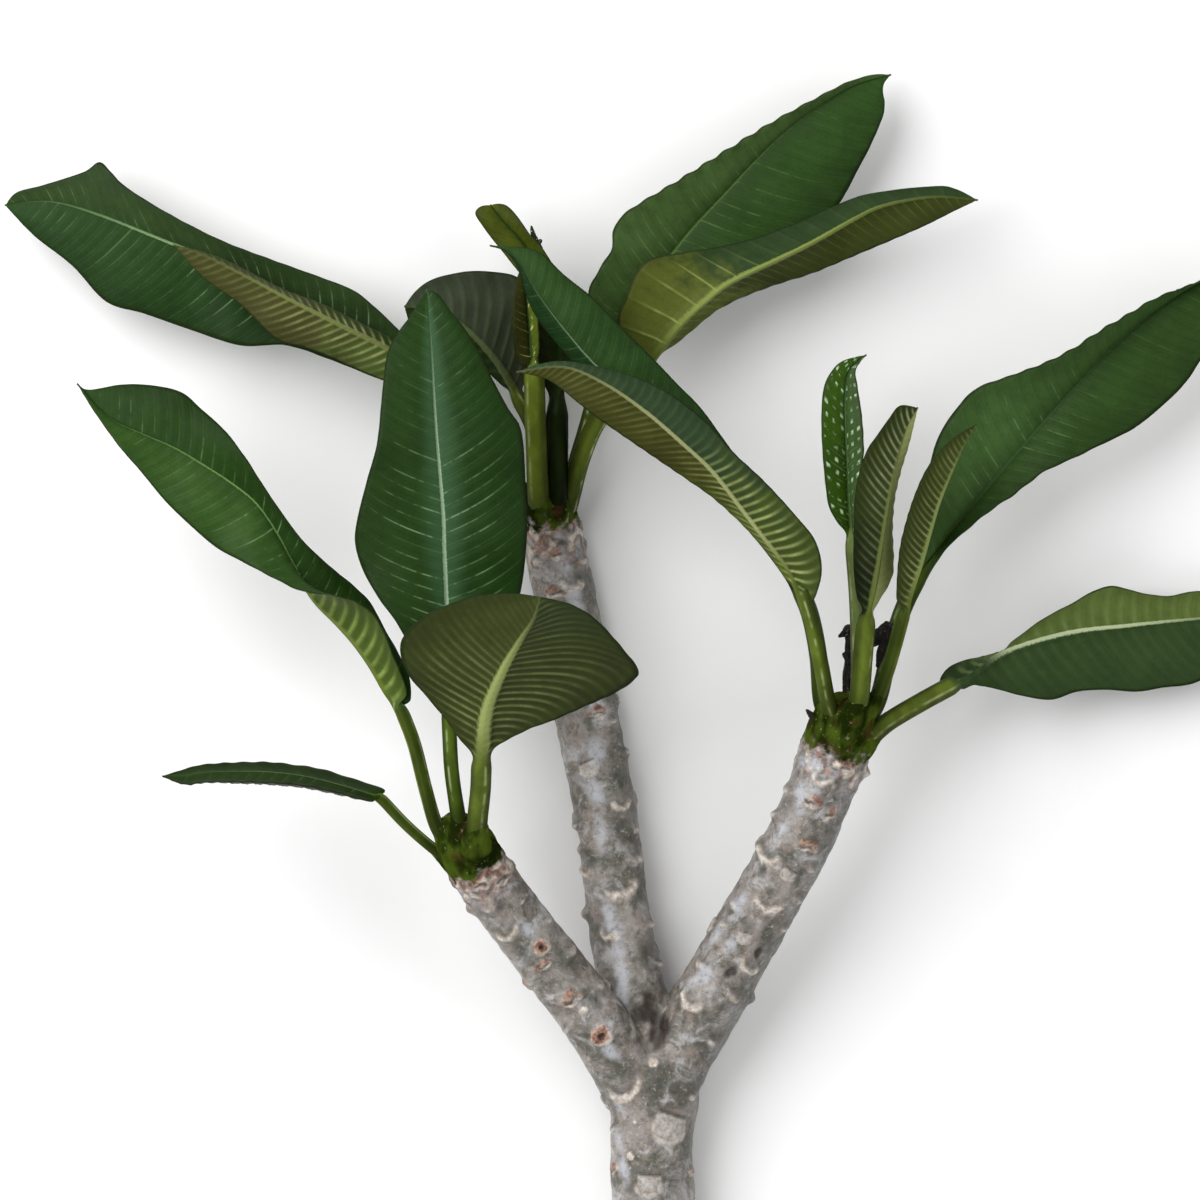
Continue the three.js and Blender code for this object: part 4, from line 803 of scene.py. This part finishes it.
grow(
    "left_leaf_3",
    top=dict(UPPER, left="22380f", right="1e2f0b"),
    under=dict(LOWER, left="323a19", right="373f1b", vein="8f9a60", rib="8f9a5c", vein_share=0.48,
               to_tip=(0.5, 0.12), fades=(0.3, 0.7), tip_left="333f22", turns=(0.6, 0.95)),
    stalk=[(-78, -60.5, 111), (-77.5, -48.5, 122)],
    rib=[(-77.5, -48.5, 122), (-75, -22, 139), (-67.5, -2.5, 156), (-58, 14, 176), (-51, 25, 190),
        (-48, 35.5, 196)],
    left=[(-70, -39), (-53.5, -30), (-42.5, -26), (-26.5, -19), (-11, -12), (-1.5, -5.5), (0.5, -0.5),
        (-6, 8.5), (-15.5, 19.5), (-22.5, 26), (-31, 31), (-40.5, 34)],
    right=[(-84.5, -40.5), (-95.5, -25), (-105.5, -13), (-114, -2.5), (-117.5, 8), (-116, 16),
        (-106.5, 25.5), (-95.5, 31), (-82.5, 35.5), (-69.5, 37), (-58.5, 37)],
    lift=(0.1, -0.1, -0.3), half=60, wave=0.8, cup=0.04, gap=(4.4, 4.4), lean=(0.25, 0.3),
    bend=(-0.3, 0.15), rib_share=0.68, quilt=0.24)
grow(
    "left_leaf_4",
    top=dict(UPPER, left="1c3004", right="1e3208", vein_share=0.15, sheen="223a0a", gloss=0.65),
    under=dict(LOWER, left="222b0b", right="202b0a"),
    stalk=[(-105.5, -87, 81), (-116.5, -77, 85), (-128, -64.5, 88)],
    rib=[(-128, -64.5, 88), (-141.5, -60, 90), (-158, -55.5, 91), (-171, -53, 91), (-189, -51.5, 89),
        (-214.5, -52, 84), (-225.5, -54, 80), (-237, -54, 76)],
    left=[(-132.5, -66.5), (-141.5, -64), (-156.5, -60), (-171, -57.5), (-189, -56.5), (-214.5, -56.5),
        (-225.5, -58)],
    right=[(-126.5, -60.5), (-141.5, -55.5), (-158, -50.5), (-171, -48.5), (-187, -47), (-214.5, -48),
        (-225.5, -50.5)],
    left_lift=(1, 1, 1), right_lift=(-1, -1, -1),
    half=28, wave=0.6, cup=-0.1)

# The middle arm's whorl: seven leaves, two of them young and still half rolled up.
grow(
    "middle_leaf_1",
    top=dict(UPPER, left="243f19", right="304422", rib="8aa678", rib_width=0.9),
    under=dict(LOWER, left="2a3b14", right="3a481d"),
    stalk=[(-68.5, 102, 18), (-93.5, 131.5, 27), (-106, 147, 31)],
    rib=[(-106, 147, 31), (-123.5, 161.5, 33), (-148.5, 176, 34), (-178, 189, 34), (-203.5, 202.5, 34),
        (-232, 212.5, 33), (-265, 225.5, 31), (-288.5, 233, 28), (-303.5, 234, 25), (-317, 232, 21)],
    left=[(-113.5, 141.5), (-127, 144), (-152.5, 154), (-175.5, 161.5), (-198.5, 161.5), (-224, 169.5),
        (-247, 177.5), (-266, 183.5), (-283, 201.5), (-302, 216.5)],
    right=[(-108.5, 158), (-119.5, 169.5), (-131, 180.5), (-141, 188.5), (-152.5, 193.5), (-184.5, 205),
        (-209, 214.5), (-234.5, 227.5), (-256, 241), (-263.5, 248.5), (-269.5, 253.5), (-277.5, 248.5),
        (-298, 242), (-311, 238.5)],
    left_lift=(0.3, 0.3, 0.2), right_lift=(0.2, 0.2, 0.2),
    half=38, wave=0.8, cup=0.04)
grow(
    "middle_leaf_2",
    top=dict(UPPER, left="1a2d0a", right="20320f"),
    under=dict(LOWER, left="2a3c12", right="485826", vein="a8ac70", rib="6c7440", vein_share=0.6,
               to_tip=(0.25, 0.25), tip_left="38401e", tip_right="424420"),
    stalk=[(-69.5, 104, 36), (-91, 131.5, 52), (-102.5, 143, 56)],
    rib=[(-102.5, 143, 56), (-121, 157.5, 59), (-143.5, 169, 61), (-168.5, 181.5, 62), (-196, 196, 61),
        (-216, 206, 60), (-232, 211.5, 58)],
    left=[(-106, 153), (-118.5, 162.5), (-140, 173.5), (-158.5, 182.5), (-178, 190), (-203.5, 203),
        (-218.5, 208.5)],
    right=[(-112.5, 139.5), (-127, 144), (-143.5, 151), (-154.5, 156), (-167, 160.5), (-180.5, 164.5),
        (-197.5, 181), (-216.5, 195)],
    lift=(-0.3, -0.3, -0.2), half=26, wave=0.6, cup=0.05, gap=(5, 5), lean=(0.8, 0.8), rib_share=0.3)
grow(
    "middle_leaf_3",
    top=dict(UPPER, left="273f17", right="1e340d"),
    under=dict(LOWER, left="363e2d", right="1f3012", rib="55613c", vein_share=0.1),
    stalk=[(-51.5, 119, 30), (-59, 135, 38)],
    rib=[(-59, 135, 38), (-70, 153, 43), (-83.5, 168, 45), (-98.5, 178, 45), (-116.5, 181, 43)],
    left=[(-55.5, 146.5), (-56.5, 174), (-58, 191.5), (-61.5, 196.5), (-73.5, 198.5), (-86, 198.5),
        (-101.5, 195), (-110.5, 189)],
    right=[(-66.5, 140.5), (-74.5, 148), (-83.5, 154), (-93.5, 159), (-104.5, 165), (-113, 171.5)],
    lift=(-0.2, -0.2, -0.2), half=34, wave=0.6, cup=0.05)
grow(
    "middle_leaf_4",
    top=dict(UPPER, left="3a3c18", right="58681e", vein="b6be70", stalk="74862c", vein_share=0.8,
             beads="bcc074", bead_shares=(0, 1.6), bead_rows=1.1),
    under=dict(LOWER, left="364515", right="4c561c", vein="b6be70", vein_share=0.8),
    stalk=[(-50.5, 114, 44), (-51.5, 148, 51)],
    rib=[(-51.5, 148, 51), (-53, 164, 53), (-54.5, 179, 54), (-56, 191.5, 54), (-58, 201, 53)],
    left=[(-59.5, 153), (-62, 166.5), (-62, 181.5), (-60.5, 193)],
    right=[(-49, 158), (-49.5, 174), (-51.5, 186.5), (-54.5, 195)],
    lift=(0.6, 0.8, 0.6), half=13, stalk_radius=5.3, wave=0, cup=0.08, gap=(4, 4))
grow(
    "middle_leaf_5",
    top=dict(UPPER, left="1c2606", right="1c2606", rib="2c360a", stalk="1c2807", vein_share=0.05,
             shade=0.4, rib_share=0.3, tip_left="444e10", tip_right="444e10", turns=(0.3, 0.6),
             glint=0),
    under=dict(LOWER, left="2f3c0f", right="363f1b"),
    stalk=[(-40, 109, 34), (-40, 129, 36)],
    rib=[(-40, 129, 36), (-40, 146.5, 36), (-40.5, 164, 37), (-43, 179, 38), (-48.5, 197.5, 39),
        (-56.5, 212.5, 40), (-65.5, 222, 40), (-73.5, 232, 39)],
    left=[(-45.5, 138), (-49.5, 155), (-51.5, 175), (-55, 191.5), (-63, 203), (-71, 213),
        (-77.5, 221.5), (-81, 227.5), (-78.5, 231)],
    right=[(-36.5, 138), (-30.5, 147), (-27, 155), (-30.5, 171.5), (-38.5, 194), (-46.5, 209),
        (-53.5, 217), (-59.5, 225.5), (-64.5, 231), (-68.5, 232.5)],
    left_lift=(0.3, 0.4, 0.4), right_lift=(0.4, 0.5, 0.5),
    half=19, stalk_radius=5.6, wave=0, cup=0.08)
grow(
    "middle_leaf_6",
    top=dict(UPPER, left="445d2f", right="2d471d", vein="7a9a58", rib="4a6830", vein_share=0.35,
             glint=0.9),
    under=dict(LOWER, left="4f5d2c", right="324116"),
    stalk=[(-29, 106.5, 13), (-22.5, 129, 17), (-15.5, 158, 22)],
    rib=[(-15.5, 158, 22), (-5, 180, 25), (6.5, 194.5, 26), (17.5, 208, 27), (29, 222, 28),
        (44, 238, 29), (59, 254, 29), (74, 268.5, 28), (91, 281.5, 27), (109, 292, 25),
        (127.5, 297.5, 22)],
    left=[(-22, 165), (-25, 178), (-24, 189.5), (-20, 198), (-13, 209.5), (-11.5, 220), (-4.5, 229),
        (21, 244.5), (46.5, 260.5), (68.5, 274), (92.5, 287), (106.5, 294), (119, 297.5)],
    right=[(-6, 160.5), (11.5, 169), (31.5, 177), (51.5, 185.5), (71.5, 199), (89, 216.5), (102, 233.5),
        (111.5, 251), (117.5, 262.5), (124, 279), (123.5, 291.5)],
    left_lift=(0.3, 0.3, 0.2), right_lift=(0.2, 0.2, 0.2),
    half=42, wave=0.9, cup=0.04, scallop=0.9)
grow(
    "middle_leaf_7",
    top=dict(UPPER, left="2d4617", right="22360e"),
    under=dict(LOWER, left="5e6a2c", right="525a22", vein="8e9a54", rib="83914a", vein_width=0.08,
               vein_share=0.6, rib_width=0.95, rib_share=0.75, even=0.85, to_tip=(0.35, 0.05),
               fades=(0.25, 0.5), tip_left="3a4219", tip_right="2c3f20", turns=(0.2, 0.4), glint=0.9),
    stalk=[(-28, 105, 33), (-19, 125, 41), (1.5, 150, 50)],
    rib=[(1.5, 150, 50), (10.5, 159.5, 54), (21.5, 173, 58), (33.5, 184, 61), (46.5, 193.5, 63),
        (75, 206.5, 65), (91, 214.5, 65), (107, 223.5, 64), (123, 231, 62), (148.5, 235.5, 59),
        (170.5, 234, 56)],
    left=[(11, 156.5), (21, 163.5), (30.5, 171.5), (40, 179), (52.5, 185.5), (70, 192), (87.5, 197.5),
        (107, 205.5), (126, 213.5), (143.5, 221), (159.5, 229)],
    right=[(-5.5, 161.5), (-9.5, 174.5), (-5.5, 185.5), (0, 198.5), (8, 205), (21, 207.5), (43, 211),
        (62, 216), (83, 224), (100.5, 232), (118, 237.5), (148.5, 241), (159.5, 239.5)],
    left_lift=(-0.5, -0.5, -0.4), right_lift=(-0.4, -0.4, -0.3),
    half=34, wave=0.8, cup=0.05, gap=(5.5, 12.5), lean=(0.5, 0.08), bend=(0.16, 0), rib_share=0.58)

# The right arm's whorl: seven leaves, three of them young, narrow and upright.
grow(
    "right_leaf_1",
    top=dict(UPPER, left="263f15", right="223510"),
    under=dict(LOWER, left="3e4c1e", right="505e20", vein="a2ac6c", rib="989c6c", vein_share=0.8,
               to_tip=(0.04, 0.2), fades=(0.3, 0.55), tip_left="30432a", tip_right="3e4018"),
    stalk=[(92, 0.5, 89), (87.5, 21.5, 97), (82.5, 38, 102)],
    rib=[(82.5, 38, 102), (74, 51.5, 105), (64, 64, 107), (51.5, 80, 109), (37.5, 98, 111),
        (22.5, 112, 112), (4.5, 127.5, 112), (-16, 141.5, 111), (-36.5, 150, 109), (-60, 147.5, 105)],
    left=[(87.5, 33.5), (92, 48), (89, 63), (79.5, 75.5), (63.5, 93), (47.5, 108), (34, 123),
        (16.5, 136.5), (-1, 145), (-18.5, 150), (-36, 153), (-48.5, 151.5)],
    right=[(76.5, 41), (66.5, 55.5), (54, 70), (39, 84), (26.5, 93), (9.5, 104.5), (-16, 122),
        (-28.5, 131.5), (-44, 143.5)],
    left_lift=(-0.4, -0.3, -0.2), right_lift=(-0.4, -0.4, -0.3),
    half=30, wave=0.9, cup=0.05, gap=(4.4, 4.4), lean=(0.25, 0.9), rib_share=0.28)
grow(
    "right_leaf_2",
    top=dict(UPPER, left="14300e", right="2a461d", rib="7c9474", vein_share=0.35, rib_width=0.45),
    under=dict(LOWER, left="3c4c21", right="35471c"),
    stalk=[(90.5, 6.5, 68), (86.5, 26.5, 72), (81.5, 39, 74)],
    rib=[(81.5, 39, 74), (71.5, 55, 76), (54, 78, 78), (31.5, 104, 79), (9, 126, 80), (-8.5, 140.5, 80),
        (-23, 153.5, 80), (-35.5, 168, 80), (-44.5, 179.5, 79), (-52, 190.5, 79), (-57.5, 201, 78),
        (-64.5, 208.5, 76.5), (-73.5, 211, 75)],
    left=[(74, 44), (59, 64), (41.5, 84), (21.5, 102), (1.5, 120), (-13.5, 133), (-24.5, 145.5),
        (-35.5, 157), (-44.5, 167.5), (-52, 178), (-56, 188), (-59, 199), (-65, 207.5)],
    right=[(85.5, 49), (79, 68), (66.5, 86.5), (49, 106.5), (32.5, 129), (20, 142), (9.5, 153),
        (0.5, 162), (-11, 173.5), (-21, 184), (-36.5, 196.5), (-49, 208), (-61.5, 210.5)],
    left_lift=(0.3, 0, -0.2), right_lift=(0.3, 0.4, 0.5),
    half=20, wave=0.6, cup=0.05)
grow(
    "right_leaf_3",
    top=dict(UPPER, left="314d0c", right="3c522b", vein="9ab090", stalk="74844a", vein_share=0.2,
             beads="accaa0"),
    under=dict(LOWER, left="384511", right="303d17"),
    stalk=[(111, 9, 72), (110, 36.5, 75), (108, 61.5, 77)],
    rib=[(108, 61.5, 77), (106.5, 76.5, 77), (105.5, 94, 78), (104.5, 114, 78), (104, 134, 78),
        (105.5, 148, 77), (114.5, 156.5, 75)],
    left=[(101.5, 70.5), (96, 80), (94, 92), (92.5, 109), (92, 125), (93, 139), (96.5, 147.5),
        (102.5, 153.5)],
    right=[(111, 76.5), (112, 94), (113, 110), (112, 126.5), (110, 140), (109, 149)],
    left_lift=(0.5, 0.7, 0.5), right_lift=(0.9, 0.9, 0.6),
    half=15, wave=0, cup=0.08, gap=(6, 6), quilt=0.6)
# Its under face is pale on the left half and near black on the right, painted light and painted shade on
# the two sides of its fold.
grow(
    "right_leaf_4",
    top=dict(UPPER, left="375321", right="1b3006"),
    under=dict(LOWER, left="a4ac68", right="0f1a02", vein="98a080", rib="566030", vein_share=0.16,
               gloss=0.62, to_tip=(3, 3.4), tip_right="2a340e"),
    stalk=[(112.5, 4, 90), (114, 23, 93)],
    rib=[(114, 23, 92), (118, 39, 94), (121.5, 59, 95), (125, 81.5, 95), (129.5, 104, 94),
        (134.5, 120.5, 92), (140, 130, 89)],
    left=[(120, 32.5), (127, 45), (128, 56), (127.5, 69), (128.5, 84), (131.5, 98), (135.5, 111.5),
        (138, 122)],
    right=[(110, 34), (108, 49), (108, 66.5), (108.5, 84), (110.5, 96.5), (114.5, 108.5), (119.5, 116),
        (125.5, 124.5), (131, 131)],
    left_lift=(-0.9, -0.9, -0.6), right_lift=(-0.2, -0.3, -0.3),
    half=22, wave=0, cup=0.05, gap=(4.2, 4.2), rib_share=0.3, quilt=0.22)
grow(
    "right_leaf_5",
    top=dict(UPPER, left="314f1a", right="2a4013"),
    under=dict(LOWER, left="455628", right="39431a", vein="9aa46c", rib="7e8a50", vein_share=0.55,
               to_tip=(0.6, 0.6)),
    stalk=[(125, -1.5, 81), (129.5, 14, 84), (133, 27, 86)],
    rib=[(133, 27, 86), (137, 40, 87), (141.5, 53, 88), (146, 68.5, 88), (150.5, 83, 88),
        (156.5, 97.5, 87), (163.5, 112.5, 85), (169, 121.5, 83)],
    left=[(131, 35), (133, 54), (136.5, 70), (141.5, 85.5), (148.5, 100), (159, 113)],
    right=[(129.5, 34), (130.5, 56), (133.5, 71), (139, 88), (146, 102), (156.5, 114)],
    left_lift=(-0.8, -0.8, -0.6), right_lift=(0.7, 0.8, 0.6),
    half=18, wave=0, cup=0.05, gap=(3.2, 3.2))
grow(
    "right_leaf_6",
    top=dict(UPPER, left="3d592b", right="2e471d", rib="37502c", vein_share=0.25),
    under=dict(LOWER, left="4b5b28", right="354116"),
    stalk=[(126, 6.5, 49), (133, 29, 49), (141.5, 46.5, 48)],
    rib=[(141.5, 46.5, 48), (161.5, 73, 46), (186.5, 103, 43), (206, 126, 41), (225, 147, 39),
        (242, 164, 37), (260.5, 179.5, 35), (286.5, 196, 32), (317, 207, 27)],
    left=[(144, 61.5), (145, 84), (146.5, 101.5), (151.5, 117), (160, 130), (170, 140), (186, 146),
        (203.5, 152.5), (217.5, 159.5), (232, 169), (246.5, 177.5), (260.5, 185.5), (281.5, 193.5),
        (300.5, 201.5)],
    right=[(149.5, 53), (156.5, 61.5), (174.5, 77), (189, 87), (203.5, 98), (217.5, 104.5),
        (232, 111.5), (249, 120), (263.5, 131.5), (275, 143), (284, 156.5), (300.5, 180.5)],
    left_lift=(0.7, 0.6, 0.5, 0.4), right_lift=(0.3, 0.3, 0.2, 0.2),
    half=40, wave=0.9, cup=0.04, scallop=0.5)
# Its under face's left half is kept dark and almost without veins, painted shade on the half that faces
# away from the light. Its right half turns olive towards the tip.
grow(
    "right_leaf_7",
    top=dict(UPPER, left="294015", right="283d13"),
    under=dict(LOWER, left="324624", right="2c3d22", vein="6f8450", rib="b4c098", vein_share=0.55,
               rib_width=0.8, tip_right="566630", turns=(0.1, 0.2), rib_from=0.1, vein_sides=(0.12, 1)),
    stalk=[(126, -26.5, 65), (144, -16, 58), (158, -8.5, 52)],
    rib=[(158, -8.5, 52), (174, 1.5, 47), (187.5, 9, 42), (217.5, 17.5, 34), (246.5, 21, 28),
        (276.5, 24, 20), (299, 26, 10), (314.5, 28, 0.6)],
    left=[(162, -12), (170, -9), (181.5, -11), (193, -14), (207.5, -16), (220.5, -12), (235, -11),
        (250.5, -12), (263.5, -10), (281.5, -7), (300.5, 6.5)],
    right=[(151.5, -6.5), (159, 2), (181.5, 8), (188.5, 13.5), (203.5, 24.5), (217.5, 32), (229, 38.5),
        (239, 41), (253.5, 37.5), (266.5, 36), (281.5, 38.5), (300.5, 36)],
    lift=(-0.2, -0.2, -0.1), half=33, wave=0.9, cup=0.04, gap=(7, 7))

# The dried pieces: what is left of an old flower stalk, a dark brittle stump with one side branch
# between the leaf stalks of the right arm, two thorn-like leaf bases that stayed on the wood, and
# the dry tip of a rolled leaf.
DRIED = {
    "stalk": [(107.5, -23, 60, 2.6), (105.5, -11, 62, 2.6), (106.5, 9, 63, 2.8), (107, 16, 64, 3.2),
        (105.5, 20.5, 66, 3)],
    "branch": [(106.5, 6.5, 62, 2.4), (112.5, 11, 61, 2.4), (119, 14, 62, 3.2), (124.5, 18, 66, 4.4),
        (126.5, 22, 68, 3)],
    "left_spike": [(107, 19, 65, 3.2), (104, 17.5, 66, 2), (100.5, 15.5, 66, 0.7)],
    "low_spike": [(107, 3, 64, 2.6), (104.5, 5.5, 64, 1.5), (103, 7.5, 64, 0.7)],
    "top_spike": [(106.5, 19, 66, 2.6), (110, 23, 68, 1)],
    "lump": [(115.5, 13, 65, 3.2), (122.5, 17, 69, 3.6), (128, 14, 71, 1.4)],
    "scrap": [(124.5, 15, 69, 3), (122, 7.5, 69, 2.2), (120, 0.5, 68, 1)],
}
THORNS = {
    "right_arm": [(92.5, -32, 66, 3.2), (89, -26, 67.5, 2.4), (84.5, -20.5, 69, 0.6)],
    "middle_arm": [(-36, 78, 17, 3), (-33, 81, 17.5, 2.2), (-30.5, 85, 18, 0.6)],
}
LEAF_TIP = {
    "spike": [(-47, 203, 39, 1.8), (-50, 210.5, 39.5, 2.6), (-51.5, 215, 40, 1.6),
        (-53, 221.5, 41, 0.4)],
    "fold": [(-50.5, 211, 39.5, 1.8), (-48, 214.5, 40, 0.8)],
}
DRIED_SIDES = 28
DRIED_VOXEL = 0.4


def dried_piece(name, limbs, stands_for, deep, pale, flecks_and_glints):
    """Brittle round limbs grown together, with a coarse dry skin in three colours."""
    tubes, tube_faces = [], []
    for knots in limbs.values():
        tube, faces = swept(knots, DRIED_SIDES)
        tube_faces += [[k + len(tubes) for k in face] for face in faces]
        tubes += tube.tolist()
    piece = new_piece(name, tubes, tube_faces)
    remesh = piece.modifiers.new("join", "REMESH")
    remesh.mode = "VOXEL"
    remesh.voxel_size = DRIED_VOXEL * MM
    applied(piece)
    piece.data.shade_smooth()
    points = points_of(piece)
    lift = 0.55 * rough(points * (1, 0.35, 1), 2.2) + 0.2 * rough(points, 0.9, 1.0)
    move_points(piece, points + normals_of(piece) * lift[:, None])
    husk = Finish(name + "_husk", Roughness=0.75, Specular_IOR_Level=0.25)
    grain = husk.noise(1.2, 5.0, 0.7, stretch=(1, 0.3, 1))
    colour = husk.over(husk.step(grain, 0.4, 0.7), deep, pale)
    colour = husk.over(husk.step(husk.noise(2.2), 0.62, 0.7, 0, 0.7), colour, flecks_and_glints)
    piece.data.materials.append(husk.done(colour, grain, 0.4))
    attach(piece, "root")
    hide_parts(stands_for)


dried_piece("dried_flower_stalk", DRIED, "dried_stalk", "090806", "2c241a", "97958c")
dried_piece("dried_thorns", THORNS, "stem", "0c0906", "3a2a20", "8c8070")
# The dried leaf tip's pale specks are painted glints.
dried_piece("dried_leaf_tip", LEAF_TIP, "middle_leaf_5", "0e1606", "2a3a12", "c8d0b4")

# The floor is a plain pale sheet. The studio light is soft: a pale sky all round and three large
# soft lamps, the strongest on the upper left.
FLOOR_WIDTH = 9
bpy.ops.mesh.primitive_plane_add(size=FLOOR_WIDTH, location=(0, 0, 0))
floor = bpy.context.object
floor.name = "floor"
paper = Finish("floor_paper", Roughness=0.9, Specular_IOR_Level=0.1)
tone = paper.over(paper.noise(40.0, 2.0), "f4f4f4", "f7f7f7")
floor.data.materials.append(paper.done(tone, paper.noise(2.0), 0.01))

SKY = 0.45
# Each lamp's place, its width and its power.
LAMPS = {
    "key": ((-1.6, 1.1, 2.1), 2.8, 86.0),
    "fill": ((1.9, 0.5, 2.0), 2.0, 11.0),
    "front": ((-0.2, -2.0, 1.8), 2.0, 14.0),
}
world = bpy.data.worlds.new("studio")
bpy.context.scene.world = world
world.use_nodes = True
world.node_tree.nodes["Background"].inputs["Color"].default_value = (1, 1, 1, 1)
world.node_tree.nodes["Background"].inputs["Strength"].default_value = SKY
for name, (place, size, power) in LAMPS.items():
    lamp = bpy.data.lights.new(name, "AREA")
    lamp.shape = "DISK"
    lamp.size = size
    lamp.energy = power
    holder = bpy.data.objects.new(name, lamp)
    holder.location = place
    holder.rotation_euler = (-Vector(place)).to_track_quat("-Z", "Y").to_euler()
    bpy.context.scene.collection.objects.link(holder)

# The camera looks straight down from far away, as the photograph looks at the plant, so that its
# frame is 600 mm wide at half the branch's height.
FRAME_WIDTH = 0.6
CAMERA_HEIGHT = 12.0
MIDDLE = (-0.0185, 0.034)
MIDDLE_HEIGHT = 0.06
lens = bpy.data.cameras.new("camera")
lens.sensor_width = 36.0
lens.lens = lens.sensor_width * (CAMERA_HEIGHT - MIDDLE_HEIGHT) / FRAME_WIDTH
lens.clip_end = 50.0
camera = bpy.data.objects.new("camera", lens)
camera.location = (*MIDDLE, CAMERA_HEIGHT)
bpy.context.scene.collection.objects.link(camera)
bpy.context.scene.camera = camera
bpy.context.scene.view_settings.view_transform = "Standard"
